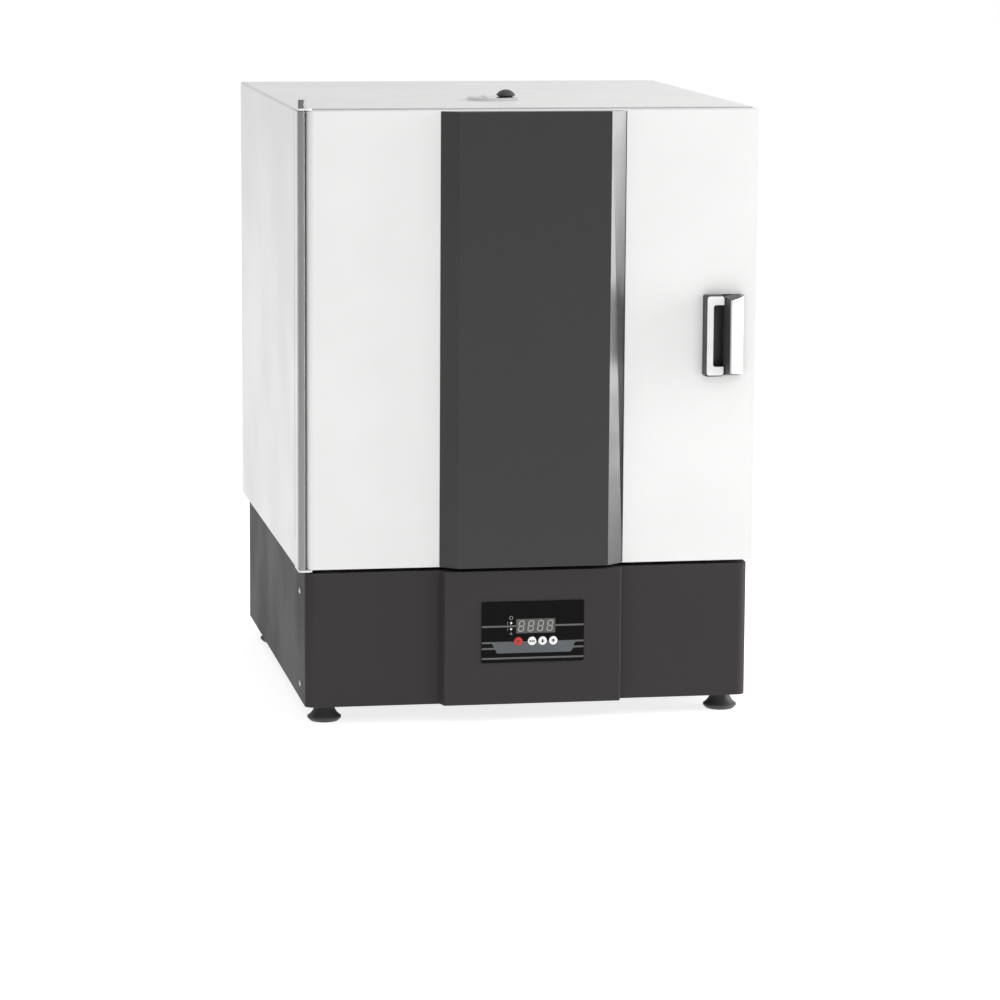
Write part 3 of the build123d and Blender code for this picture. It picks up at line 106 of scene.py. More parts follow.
# Symbols on the keys: a triangle, three dots, two arrows
POWER_MARK_BACK = 1.9
POWER_MARK_TIP = 2.6
POWER_MARK_HALF = 2.4
DOT_PITCH = 2.4
DOT_HALF_WIDTH = 0.8
DOT_HALF_HEIGHT = 1.1
ARROW_HALF = 2.4
ARROW_BASE = 0.2
ARROW_TIP = 2.6
ARROW_STEM_HALF = 0.7
ARROW_STEM = 2.2

# Painted reflection on the lever: a thin pale sheet on its front faces, in millimetres, and how
# a face of the lever that gets it is turned
LEVER_CREST_INSET = 5.0
LEVER_REFLECTION_LIFT = 0.02
LEVER_REFLECTION_THICKNESS = 0.1
LEVER_FRONT_TURN = -0.5
LEVER_END_TURN = 0.2

# Painted shadow seams beside the door panel and the bellows seal behind the door, in millimetres
SEAM_HALF_WIDTH = 0.6
SEAM_END = 1.0
SEAM_HEIGHT = 0.35
SEAL_WIDTH = 14.0
SEAL_CORNER = 18.0
SEAL_INNER_CORNER = 2.0

# Half section of the seal: share of its width inward, share of its depth from the cabinet
SEAL_PROFILE = (
    (0.0, 1.0), (0.0, 0.62), (0.16, 0.55), (0.08, 0.42), (0.0, 0.35), (0.0, 0.12),
    (0.1, 0.0), (0.9, 0.0), (1.0, 0.12), (1.0, 0.35), (0.92, 0.42), (0.84, 0.55),
    (1.0, 0.62), (1.0, 1.0),
)

# Edge radii, in millimetres, and the nodes that have them
FOLD_RADIUS = 0.5
FOLDED_NODES = ("cabinet_shell", "door_skin", "door_panel", "base_chassis",
                "base_front_cover", "base_centre_panel", "base_rear_panel",
                "cabinet_rear_panel", "front_frame", "hinge_plates")
MOULD_RADIUS = 0.3
MOULDED_NODES = ("latch_housing", "latch_lever", "latch_face", "control_plate")
EDGE_SEGMENTS = 2
EDGE_ANGLE = 35.0
SEAM_JOIN = 0.00001

# Camera fitted to the photo's edges
CAMERA_PLACE = (-0.8565, -4.9116, 1.0314)
CAMERA_YAW = 0.1758
CAMERA_PITCH = 0.1609
CAMERA_ROLL = 0.0060
CAMERA_LENS = 141.96
CAMERA_SENSOR = 36.0

# Studio: the backdrop as seen, the studio's light, and its share on the darker left
BACKDROP = 1.0
STUDIO_LIGHT = 0.78
LEFT_SHARE = 0.78
FLOOR_REACH = 9.0

# Soft lights: name, place, aim, width, height, radiance
SOFTBOXES = (
    ("Right softbox", (1.9, -0.37, 0.96), (0.1, -0.37, 0.96), 0.6, 1.9, 16.5),
    ("Front key", (1.5, -3.2, 2.6), (0.0, -0.2, 0.4), 1.8, 1.4, 1.6),
)

# Colours laid over a finish
DUST_ON_PAINT = (0.55, 0.53, 0.5)
DUST_ON_PLASTIC = (0.4, 0.39, 0.37)
BARE_METAL = (0.85, 0.85, 0.85)
COPPER_UNDER_MASK = (0.05, 0.25, 0.1)


# Node groups: one effect each, shared by the finishes


def effect(name, inputs, outputs):
    """Empty shader group with named inputs (name, default) and outputs (name, kind)."""
    group = bpy.data.node_groups.new(name, "ShaderNodeTree")
    for label, value in inputs:
        kind = "NodeSocketVector" if isinstance(value, tuple) else "NodeSocketFloat"
        socket = group.interface.new_socket(name=label, in_out="INPUT", socket_type=kind)
        socket.default_value = value
    for label in outputs:
        group.interface.new_socket(name=label, in_out="OUTPUT", socket_type="NodeSocketFloat")
    return group, group.nodes.new("NodeGroupInput"), group.nodes.new("NodeGroupOutput")


def add(tree, kind, values=None, **settings):
    """New node with its settings and the defaults of its input sockets."""
    node = tree.nodes.new(kind)
    for key, value in settings.items():
        setattr(node, key, value)
    for key, value in (values or {}).items():
        node.inputs[key].default_value = value
    return node


def own_place(tree):
    """Coordinates fixed to the piece itself."""
    return add(tree, "ShaderNodeTexCoord").outputs["Object"]


def noise(tree, vector, scale, detail=2.0, roughness=0.5):
    """Noise over the piece. The scale is a number or a socket."""
    node = add(tree, "ShaderNodeTexNoise", {"Detail": detail, "Roughness": roughness})
    tree.links.new(vector, node.inputs["Vector"])
    if isinstance(scale, float):
        node.inputs["Scale"].default_value = scale
    else:
        tree.links.new(scale, node.inputs["Scale"])
    return node.outputs["Fac"]


def math_node(tree, operation, first, second=None, clamp=False):
    """Math node; each term is a number or a socket."""
    node = add(tree, "ShaderNodeMath", operation=operation, use_clamp=clamp)
    for place, term in enumerate((first, second)):
        if isinstance(term, (int, float)):
            node.inputs[place].default_value = term
        elif term is not None:
            tree.links.new(term, node.inputs[place])
    return node.outputs["Value"]


def spread(tree, value, low, high, to_low=0.0, to_high=1.0):
    """Maps a value's middle range onto a new range."""
    node = add(tree, "ShaderNodeMapRange", {
        "From Min": low, "From Max": high, "To Min": to_low, "To Max": to_high,
    }, clamp=True, interpolation_type="SMOOTHSTEP")
    tree.links.new(value, node.inputs["Value"])
    return node.outputs["Result"]


def make_mottle():
    """Slow cloudy variation of a coat, 0 to 1."""
    group, start, end = effect("Coat mottle", [("Scale", 6.0)], ["Value"])
    coarse = noise(group, own_place(group), start.outputs["Scale"], 3.0, 0.55)
    group.links.new(spread(group, coarse, 0.3, 0.7), end.inputs["Value"])
    return group


def make_orange_peel():
    """Fine waviness of sprayed powder coat."""
    group, start, end = effect("Orange peel", [("Scale", 420.0), ("Depth", 1.0)], ["Height"])
    place = own_place(group)
    wave = noise(group, place, start.outputs["Scale"], 1.0, 0.4)
    grain_scale = math_node(group, "MULTIPLY", start.outputs["Scale"], 4.0)
    grain = noise(group, place, grain_scale, 1.0, 0.4)
    both = math_node(group, "ADD", wave, math_node(group, "MULTIPLY", grain, 0.25))
    height = math_node(group, "MULTIPLY", both, start.outputs["Depth"])
    group.links.new(height, end.inputs["Height"])
    return group


def make_rubbed_edges():
    """Mask of the outer edges, broken up where hands and tools have rubbed them."""
    group, start, end = effect("Rubbed edges", [("Width", 0.0012), ("Breakup", 60.0)], ["Mask"])
    rounded = add(group, "ShaderNodeBevel", samples=4)
    group.links.new(start.outputs["Width"], rounded.inputs["Radius"])
    surface = add(group, "ShaderNodeNewGeometry")
    turn = add(group, "ShaderNodeVectorMath", operation="DOT_PRODUCT")
    group.links.new(rounded.outputs["Normal"], turn.inputs[0])
    group.links.new(surface.outputs["Normal"], turn.inputs[1])
    edge = spread(group, turn.outputs["Value"], 0.999, 0.88)
    patches = spread(group, noise(group, own_place(group), start.outputs["Breakup"], 4.0, 0.6),
                     0.35, 0.65, 0.25, 1.0)
    group.links.new(math_node(group, "MULTIPLY", edge, patches), end.inputs["Mask"])
    return group


def make_settled_dust():
    """Thin dust film on surfaces that face up."""
    group, start, end = effect("Settled dust", [("Amount", 0.1)], ["Mask"])
    surface = add(group, "ShaderNodeNewGeometry")
    split = add(group, "ShaderNodeSeparateXYZ")
    group.links.new(surface.outputs["Normal"], split.inputs["Vector"])
    up = spread(group, split.outputs["Z"], 0.6, 0.95)
    film = spread(group, noise(group, own_place(group), 22.0, 6.0, 0.62), 0.42, 0.72)
    mask = math_node(group, "MULTIPLY", up, film)
    mask = math_node(group, "MULTIPLY", mask, start.outputs["Amount"])
    group.links.new(mask, end.inputs["Mask"])
    return group


def make_brush_lines():
    """Long fine scratches of brushed or drawn metal. Stretch is the pitch along each axis."""
    group, start, end = effect("Brush lines", [("Stretch", (1.0, 1.0, 1.0))],
                               ["Streak", "Height"])
    scaled = add(group, "ShaderNodeVectorMath", operation="MULTIPLY")
    group.links.new(own_place(group), scaled.inputs[0])
    group.links.new(start.outputs["Stretch"], scaled.inputs[1])
    fine = noise(group, scaled.outputs["Vector"], 1.0, 4.0, 0.65)
    slow = noise(group, scaled.outputs["Vector"], 0.5, 2.0, 0.5)
    group.links.new(spread(group, slow, 0.35, 0.65), end.inputs["Streak"])
    group.links.new(fine, end.inputs["Height"])
    return group


def make_moulded_grain():
    """Fine spark-eroded texture of moulded plastic."""
    group, start, end = effect("Moulded grain", [("Scale", 1800.0)], ["Height"])
    cells = add(group, "ShaderNodeTexVoronoi", feature="SMOOTH_F1")
    group.links.new(own_place(group), cells.inputs["Vector"])
    group.links.new(start.outputs["Scale"], cells.inputs["Scale"])
    group.links.new(cells.outputs["Distance"], end.inputs["Height"])
    return group


def make_wool_fibre():
    """Tangled fibres of mineral wool."""
    group, start, end = effect("Wool fibre", [("Scale", 160.0)], ["Tuft", "Height"])
    node = add(group, "ShaderNodeTexNoise", {"Detail": 8.0, "Roughness": 0.7, "Distortion": 2.5})
    group.links.new(own_place(group), node.inputs["Vector"])
    group.links.new(start.outputs["Scale"], node.inputs["Scale"])
    group.links.new(spread(group, node.outputs["Fac"], 0.3, 0.7), end.inputs["Tuft"])
    group.links.new(node.outputs["Fac"], end.inputs["Height"])
    return group


EFFECTS = {
    "mottle": make_mottle(),
    "peel": make_orange_peel(),
    "edges": make_rubbed_edges(),
    "dust": make_settled_dust(),
    "brush": make_brush_lines(),
    "grain": make_moulded_grain(),
    "wool": make_wool_fibre(),
}


class Finish:
    """One material while it is being built."""

    def __init__(self, name, colour, roughness, metallic=0.0, **shader_values):
        self.material = bpy.data.materials.new(name)
        self.material.use_nodes = True
        self.tree = self.material.node_tree
        self.shader = self.tree.nodes["Principled BSDF"]
        self.roughness = roughness
        self.colour = None
        self.shader.inputs["Base Color"].default_value = (*colour, 1.0)
        self.shader.inputs["Metallic"].default_value = metallic
        self.shader.inputs["Roughness"].default_value = roughness
        for key, value in shader_values.items():
            self.shader.inputs[key.replace("_", " ")].default_value = value

    def use(self, effect_name, **values):
        """Places a shared effect with this finish's own values."""
        node = self.tree.nodes.new("ShaderNodeGroup")
        node.node_tree = EFFECTS[effect_name]
        for key, value in values.items():
            node.inputs[key].default_value = value
        return node.outputs

    def tint(self, mask, colour, share=1.0):
        """Lays a second colour over the first where the mask is."""
        mix = add(self.tree, "ShaderNodeMix", data_type="RGBA")
        amount = math_node(self.tree, "MULTIPLY", mask, share)
        self.tree.links.new(amount, mix.inputs["Factor"])
        if self.colour is None:
            set_colour(mix, "A", self.shader.inputs["Base Color"].default_value)
        else:
            self.tree.links.new(self.colour, colour_input(mix, "A"))
        set_colour(mix, "B", (*colour, 1.0))
        self.colour = colour_output(mix)
        self.tree.links.new(self.colour, self.shader.inputs["Base Color"])
        return self

    def vary_roughness(self, mask, low, high):
        """Roughness between two values, after a mask."""
        value = spread(self.tree, mask, 0.0, 1.0, low, high)
        self.tree.links.new(value, self.shader.inputs["Roughness"])
        return self

    def emboss(self, height, strength, distance):
        """Bump from a height."""
        bump = add(self.tree, "ShaderNodeBump", {"Strength": strength, "Distance": distance})
        self.tree.links.new(height, bump.inputs["Height"])
        self.tree.links.new(bump.outputs["Normal"], self.shader.inputs["Normal"])
        return self


def colour_input(mix, label):
    """Colour socket of a mix node with that name."""
    return [s for s in mix.inputs if s.name == label and s.type == "RGBA"][0]


def colour_output(mix):
    """Colour result of a mix node."""
    return [s for s in mix.outputs if s.type == "RGBA"][0]


def set_colour(mix, label, colour):
    """Sets a mix node's colour socket."""
    colour_input(mix, label).default_value = colour


def sprayed(name, colour, rubbed, roughness, dust, wear, **shader_values):
    """Powder-coated sheet: orange peel, faint mottling, rubbed edges, a little dust."""
    finish = Finish(name, colour, roughness, **shader_values)
    mottle = finish.use("mottle", Scale=5.0)["Value"]
    deeper = tuple(c * 0.93 for c in colour)
    finish.tint(mottle, deeper, 0.6)
    finish.tint(finish.use("edges", Width=0.0011, Breakup=70.0)["Mask"], rubbed, wear)
    finish.tint(finish.use("dust", Amount=dust)["Mask"], DUST_ON_PAINT)
    finish.vary_roughness(mottle, roughness - 0.04, roughness + 0.06)
    return finish.emboss(finish.use("peel", Scale=420.0, Depth=1.0)["Height"], 0.10, 0.0004)


def brushed(name, colour, roughness, stretch, wear=0.2):
    """Brushed sheet metal with long lines along one direction."""
    finish = Finish(name, colour, roughness, 1.0)
    lines = finish.use("brush", Stretch=stretch)
    finish.tint(lines["Streak"], tuple(c * 0.88 for c in colour), 0.4)
    finish.tint(finish.use("edges", Width=0.0008, Breakup=90.0)["Mask"], BARE_METAL, wear)
    finish.vary_roughness(lines["Streak"], roughness - 0.02, roughness + 0.05)
    return finish.emboss(lines["Height"], 0.06, 0.0001)


def polished(name, colour, roughness):
    """Bright plated metal with faint smears."""
    finish = Finish(name, colour, roughness, 1.0)
    smear = finish.use("mottle", Scale=40.0)["Value"]
    finish.tint(smear, tuple(c * 0.86 for c in colour), 0.5)
    finish.vary_roughness(smear, roughness, roughness + 0.1)
    return finish.emboss(finish.use("peel", Scale=600.0, Depth=1.0)["Height"], 0.03, 0.0002)


def moulded(name, colour, roughness, worn, grain=1800.0, depth=0.15, wear=0.3):
    """Moulded plastic with a fine eroded texture and shiny rubbed edges."""
    finish = Finish(name, colour, roughness)
    mottle = finish.use("mottle", Scale=30.0)["Value"]
    finish.tint(mottle, tuple(c * 0.85 for c in colour), 0.5)
    finish.tint(finish.use("edges", Width=0.0007, Breakup=120.0)["Mask"], worn, wear)
    finish.tint(finish.use("dust", Amount=0.12)["Mask"], DUST_ON_PLASTIC)
    finish.vary_roughness(mottle, roughness - 0.06, roughness + 0.08)
    return finish.emboss(finish.use("grain", Scale=grain)["Height"], depth, 0.0002)


def glossy(name, colour, roughness, smear_scale=50.0, **shader_values):
    """Smooth lacquered or printed surface with faint smears."""
    finish = Finish(name, colour, roughness, **shader_values)
    smear = finish.use("mottle", Scale=smear_scale)["Value"]
    finish.tint(smear, tuple(c * 0.9 for c in colour), 0.5)
    finish.vary_roughness(smear, roughness, roughness + 0.08)
    return finish.emboss(finish.use("peel", Scale=300.0, Depth=1.0)["Height"], 0.03, 0.0002)


def make_wool(name, colour):
    """Mineral wool."""
    finish = Finish(name, colour, 0.95)
    fibre = finish.use("wool", Scale=160.0)
    finish.tint(fibre["Tuft"], tuple(c * 0.6 for c in colour), 0.8)
    return finish.emboss(fibre["Height"], 0.9, 0.003)


def make_glass(name):
    """Clear tempered glass with a faint green body."""
    finish = Finish(name, (0.93, 0.98, 0.965), 0.02, IOR=1.5, Transmission_Weight=1.0)
    smear = finish.use("mottle", Scale=12.0)["Value"]
    finish.vary_roughness(smear, 0.0, 0.03)
    return finish


def make_fr4(name):
    """Solder mask over copper tracks."""
    finish = Finish(name, (0.02, 0.12, 0.05), 0.3)
    tracks = add(finish.tree, "ShaderNodeTexBrick", {
        "Scale": 260.0, "Mortar Size": 0.03, "Color1": (0, 0, 0, 1), "Color2": (0, 0, 0, 1),
        "Mortar": (1, 1, 1, 1),
    })
    finish.tree.links.new(own_place(finish.tree), tracks.inputs["Vector"])
    finish.tint(tracks.outputs["Color"], COPPER_UNDER_MASK, 0.8)
    return finish.emboss(tracks.outputs["Fac"], 0.3, 0.0002)


FINISHES = {
    "white_paint": sprayed("White powder coat", (0.80, 0.80, 0.795), (0.86, 0.86, 0.86),
                           0.38, 0.05, 0.4),
    "dark_paint": sprayed("Dark grey paint", (0.018, 0.0166, 0.0168), (0.10, 0.096, 0.096),
                          0.31, 0.10, 0.5),
    "base_paint": sprayed("Satin base paint", (0.048, 0.0445, 0.0452), (0.12, 0.115, 0.115),
                          0.42, 0.10, 0.5, Specular_IOR_Level=0.02),
    "stainless": brushed("Brushed stainless", (0.62, 0.62, 0.61), 0.3, (9.0, 9.0, 900.0)),
    "bright_steel": polished("Bright steel", (0.74, 0.745, 0.75), 0.1),
    "rod_steel": brushed("Drawn hinge rod", (0.27, 0.27, 0.27), 0.26, (900.0, 900.0, 6.0)),
    "zinc_steel": brushed("Zinc plate", (0.6, 0.6, 0.585), 0.34, (200.0, 200.0, 200.0)),
    "pin_black": polished("Blackened pin", (0.20, 0.195, 0.195), 0.22),
    "latch_face": glossy("Silver latch face", (0.86, 0.855, 0.85), 0.28),
    # Pale grey paint on the lever's front faces only: a painted reflection of the bright
    # surroundings
    "lever_reflection_white": sprayed("White painted reflection on lever", (0.56, 0.56, 0.555), (0.86, 0.86, 0.86),
                           0.3, 0.05, 0.4),
    "latch_plastic": moulded("Satin black latch plastic", (0.05, 0.049, 0.049), 0.42,
                             (0.13, 0.13, 0.13)),
    "foot_plastic": moulded("Foot plastic", (0.036, 0.035, 0.035), 0.5, (0.1, 0.1, 0.1),
                            grain=900.0),
    "seal_rubber": moulded("Seal rubber", (0.03, 0.03, 0.031), 0.7, (0.07, 0.07, 0.07),
                           grain=1400.0, depth=0.25),
    "wool": make_wool("Mineral wool", (0.72, 0.66, 0.42)),
    "clear_glass": make_glass("Tempered glass"),
    "aluminium_fittings": brushed("Satin aluminium", (0.72, 0.725, 0.73), 0.32,
                                  (700.0, 12.0, 12.0)),
    "plate_gloss": glossy("Control film", (0.003, 0.003, 0.0028), 0.2, Specular_IOR_Level=0.07),
    "display_dark": glossy("Smoked window", (0.072, 0.070, 0.068), 0.2),
    "lamp_clear": glossy("Lamp lens", (0.75, 0.72, 0.7), 0.15),
    "key_red": glossy("Red key", (0.50, 0.022, 0.020), 0.3),
    "key_white": glossy("White key", (0.82, 0.82, 0.81), 0.3),
    "switch_black": moulded("Black moulding", (0.022, 0.022, 0.022), 0.45, (0.08, 0.08, 0.08)),
    "board_green": make_fr4("Circuit board"),
    "block_cream": moulded("Cream moulding", (0.68, 0.63, 0.5), 0.5, (0.75, 0.72, 0.62)),
    # Black strips painted as the shadow in the seams beside the door panel
    "seam_shadow_black": moulded("Black painted seam shadow", (0.02, 0.02, 0.02), 0.6, (0.04, 0.04, 0.04)),
    "print_grey": glossy("Grey print", (0.105, 0.104, 0.102), 0.4),
    "print_mark": glossy("Pale grey print", (0.22, 0.22, 0.22), 0.3),
    "print_trapezoid": glossy("Blue grey print", (0.082, 0.090, 0.096), 0.3),
    "digit": glossy("Lit digit", (0.36, 0.36, 0.35), 0.35),
    "mark_dark": glossy("Dark mark", (0.03, 0.03, 0.033), 0.35),
    "mark_red": glossy("Deep red mark", (0.2, 0.008, 0.008), 0.35),
    "heater_sheath": brushed("Heater sheath", (0.16, 0.14, 0.12), 0.5, (300.0, 300.0, 300.0)),
}
OWN_FINISH = {
    "hinge_rod": "rod_steel", "heater_element": "heater_sheath", "base_chassis": "base_paint",
    "base_front_cover": "base_paint", "base_centre_panel": "base_paint",
    "base_rear_panel": "base_paint",
}


def dress_cad_nodes():
    """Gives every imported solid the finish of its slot."""
    slots = {row["node"]: row["material_slot"] for row in frame["record"]["subparts"]}
    for name, obj in nodes.items():
        finish = FINISHES[OWN_FINISH.get(name, slots[name])].material
        obj.data.materials.clear()
        obj.data.materials.append(finish)


def soften_edges(name, radius):
    """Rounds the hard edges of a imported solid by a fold's or a mould's small radius."""
    obj = nodes[name]
    weld = obj.modifiers.new("Join seams", "WELD")
    weld.merge_threshold = SEAM_JOIN
    bevel = obj.modifiers.new("Fold radius", "BEVEL")
    bevel.width = radius * MM
    bevel.segments = EDGE_SEGMENTS
    bevel.limit_method = "ANGLE"
    bevel.angle_limit = math.radians(EDGE_ANGLE)
    bevel.harden_normals = True
    bevel.use_clamp_overlap = True


# Pieces


def place(mesh_builder, name, finish, body, slot, smooth=False):
    """Turns a bmesh into a piece with its finish and body. The slot argument is not used."""
    mesh = bpy.data.meshes.new(name)
    bmesh.ops.recalc_face_normals(mesh_builder, faces=mesh_builder.faces)
    mesh_builder.to_mesh(mesh)
    mesh_builder.free()
    if smooth:
        for face in mesh.polygons:
            face.use_smooth = True
    mesh.materials.append(FINISHES[finish].material)
    obj = bpy.data.objects.new(name, mesh)
    bpy.context.scene.collection.objects.link(obj)
    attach(obj, body)
    return obj


def front_prism(builder, outline, front, back):
    """Prism over a front-view outline of (x, z) points, millimetres."""
    near = [builder.verts.new((x * MM, front * MM, z * MM)) for x, z in outline]
    far = [builder.verts.new((x * MM, back * MM, z * MM)) for x, z in outline]
    builder.faces.new(near)
    builder.faces.new(reversed(far))
    count = len(outline)
    for i in range(count):
        j = (i + 1) % count
        builder.faces.new((near[j], near[i], far[i], far[j]))


def round_corners(points, radius, steps=4):
    """Outline with each corner replaced by a short arc."""
    outline = []
    count = len(points)
    for i, corner in enumerate(points):
        corner = Vector(corner)
        before = (Vector(points[i - 1]) - corner)
        after = (Vector(points[(i + 1) % count]) - corner)
        reach = min(radius, before.length / 2, after.length / 2)
        start = corner + before.normalized() * reach
        end = corner + after.normalized() * reach
        for step in range(steps + 1):
            t = step / steps
            outline.append(tuple(start * (1 - t) ** 2 + corner * 2 * t * (1 - t) + end * t * t))
    return outline


def rectangle(x0, x1, z0, z1):
    """Corners of a front-view rectangle."""
    return [(x0, z0), (x1, z0), (x1, z1), (x0, z1)]


def ring(builder, x, z, inner, outer, front, back, start=0.0, sweep=360.0, count=24):
    """Flat ring or arc of a ring, as short blocks."""
    for i in range(count):
        a = math.radians(start + sweep * i / count)
        b = math.radians(start + sweep * (i + 1) / count)
        front_prism(builder, [
            (x + inner * math.cos(a), z + inner * math.sin(a)),
            (x + outer * math.cos(a), z + outer * math.sin(a)),
            (x + outer * math.cos(b), z + outer * math.sin(b)),
            (x + inner * math.cos(b), z + inner * math.sin(b)),
        ], front, back)


def make_plate_print():
    """Thin grey rules and the key panel printed on the control film."""
    front = PLATE_FRONT - PRINT_THICKNESS
    grey = bmesh.new()
    half = PRINT_LINE / 2
    for x0, x1, z in PRINT_RULES:
        line = rectangle(x0 + PRINT_LINE_END, x1 - PRINT_LINE_END, z - half, z + half)
        front_prism(grey, line, front, PLATE_FRONT)
    place(grey, "plate_rules", "print_grey", "cabinet", "plate_gloss")
    panel = bmesh.new()
    outline = round_corners(KEY_PANEL_OUTLINE, KEY_PANEL_CORNER)
    front_prism(panel, outline, front - PRINT_THICKNESS, PLATE_FRONT)
    place(panel, "plate_key_panel", "print_trapezoid", "cabinet", "plate_gloss")
    marks = bmesh.new()
    ring(marks, LAMP_X, LAMP_UPPER_Z + LAMP_RING_RISE, *LAMP_RING_RADII, front, PLATE_FRONT,
         count=18)
    foot = LAMP_LOWER_Z - LAMP_WEDGE_FOOT
    front_prism(marks, [(LAMP_X - LAMP_WEDGE_HALF, foot), (LAMP_X + LAMP_WEDGE_HALF, foot),
                        (LAMP_X, LAMP_LOWER_Z - LAMP_WEDGE_TIP)], front, PLATE_FRONT)
    for z in (LAMP_LOWER_Z, LAMP_UPPER_Z):
        ring(marks, LAMP_X, z, *LAMP_ARC_RADII, front, PLATE_FRONT,
             LAMP_ARC_START, LAMP_ARC_SWEEP, 5)
    place(marks, "plate_lamp_marks", "print_mark", "cabinet", "plate_gloss")


def make_display():
    """Smoked window over the digits, and the four digits themselves."""
    front = PLATE_FRONT - WINDOW_RISE
    window = bmesh.new()
    x, z = WINDOW_X, WINDOW_Z
    outline = round_corners(rectangle(x - WINDOW_WIDTH / 2, x + WINDOW_WIDTH / 2,
                                      z - WINDOW_HEIGHT / 2, z + WINDOW_HEIGHT / 2),
                            WINDOW_CORNER)
    front_prism(window, outline, front, PLATE_FRONT)
    place(window, "display_window", "display_dark", "cabinet", "display_dark")
    digits = bmesh.new()
    for place_number in range(4):
        middle = x + (place_number - 1.5) * DIGIT_PITCH
        for outline in digit_bars(DIGIT_HEIGHT, DIGIT_WIDTH, DIGIT_BAR, DIGIT_BAR_GAP):
            slanted = [(middle + px + DIGIT_LEAN * pz, z + pz) for px, pz in outline]
            front_prism(digits, slanted, front - PRINT_THICKNESS, front)
    place(digits, "display_digits", "digit", "cabinet", "display_dark")


def digit_bars(high, wide, bar, gap):
    """Seven hexagonal bars of one digit, about its centre."""
    half, side = bar / 2, wide / 2 - bar / 2
    level = high / 2 - bar / 2
    bars = []
    for z in (-level, 0.0, level):
        a, b = -side + gap, side - gap
        bars.append([(a, z), (a + half, z - half), (b - half, z - half), (b, z),
                     (b - half, z + half), (a + half, z + half)])
    for x in (-side, side):
        for low, top in ((-level, 0.0), (0.0, level)):
            a, b = low + gap, top - gap
            bars.append([(x, a), (x + half, a + half), (x + half, b - half), (x, b),
                         (x - half, b - half), (x - half, a + half)])
    return bars


def make_key_marks():
    """Plain symbols on the four keys."""
    front = KEY_FRONT - PRINT_THICKNESS
    power = bmesh.new()
    x = KEY_X["power"]
    front_prism(power, [(x - POWER_MARK_BACK, KEY_Z - POWER_MARK_HALF),
                        (x + POWER_MARK_TIP, KEY_Z),
                        (x - POWER_MARK_BACK, KEY_Z + POWER_MARK_HALF)], front, KEY_FRONT)
    place(power, "power_key_mark", "mark_red", "power_key", "key_red")
    setting = bmesh.new()
    for step in (-1, 0, 1):
        x = KEY_X["set"] + step * DOT_PITCH
        dot = rectangle(x - DOT_HALF_WIDTH, x + DOT_HALF_WIDTH,
                        KEY_Z - DOT_HALF_HEIGHT, KEY_Z + DOT_HALF_HEIGHT)
        front_prism(setting, dot, front, KEY_FRONT)
    place(setting, "set_key_mark", "mark_dark", "set_key", "key_white")
    for name, sign in (("down", -1), ("up", 1)):
        arrow = bmesh.new()
        x = KEY_X[name]
        base = KEY_Z - sign * ARROW_BASE
        front_prism(arrow, [(x - ARROW_HALF, base), (x + ARROW_HALF, base),
                            (x, KEY_Z + sign * ARROW_TIP)], front, KEY_FRONT)
        end = KEY_Z - sign * ARROW_STEM
        stem = rectangle(x - ARROW_STEM_HALF, x + ARROW_STEM_HALF,
                         min(KEY_Z, end), max(KEY_Z, end))
        front_prism(arrow, stem, front, KEY_FRONT)
        place(arrow, f"{name}_key_mark", "mark_dark", f"{name}_key", "key_white")


def make_lever_painted_reflection():
    """Thin pale sheet over the front faces of the pull lever, a painted reflection of the bright
    surroundings, lifted from the lever's own form.
    """
    lever = nodes["latch_lever"]
    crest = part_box("latch_lever")[0].x + LEVER_CREST_INSET * MM
    builder = bmesh.new()
    builder.from_mesh(lever.data)
    builder.transform(lever.matrix_world)
    bmesh.ops.remove_doubles(builder, verts=builder.verts, dist=SEAM_JOIN)
    builder.normal_update()
    hidden = [face for face in builder.faces
              if face.normal.y > LEVER_FRONT_TURN or abs(face.normal.z) > LEVER_END_TURN
              or face.calc_center_median().x < crest]
    bmesh.ops.delete(builder, geom=hidden, context="FACES")
    builder.normal_update()
    lifts = {vert: vert.normal.copy() for vert in builder.verts}
    for vert, normal in lifts.items():
        vert.co += normal * LEVER_REFLECTION_LIFT * MM
    raised = bmesh.ops.extrude_face_region(builder, geom=builder.faces[:])["geom"]
    for vert in [piece for piece in raised if isinstance(piece, bmesh.types.BMVert)]:
        nearest = min(lifts, key=lambda old: (old.co - vert.co).length)
        vert.co += lifts[nearest] * LEVER_REFLECTION_THICKNESS * MM
    reflection_sheet = place(builder, "lever_front_reflection_sheet", "lever_reflection_white", "lever", "latch_face")
    reflection_sheet.data.shade_smooth()
    reflection_sheet.data.set_sharp_from_angle(angle=math.radians(30))


def make_panel_seam_shadows():
    """Dark strips painted as the shadow in the seams where the raised door panel meets the white
    skin.
    """
    low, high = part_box("door_panel")
    front = high.y / MM
    bottom, top = low.z / MM + SEAM_END, high.z / MM - SEAM_END
    for name, x in (("left", low.x / MM), ("right", high.x / MM)):
        seam = bmesh.new()
        strip = rectangle(x - SEAM_HALF_WIDTH, x + SEAM_HALF_WIDTH, bottom, top)
        front_prism(seam, strip, front - SEAM_HEIGHT, front)
        place(seam, f"door_panel_seam_{name}", "seam_shadow_black", "door", "seal_rubber")


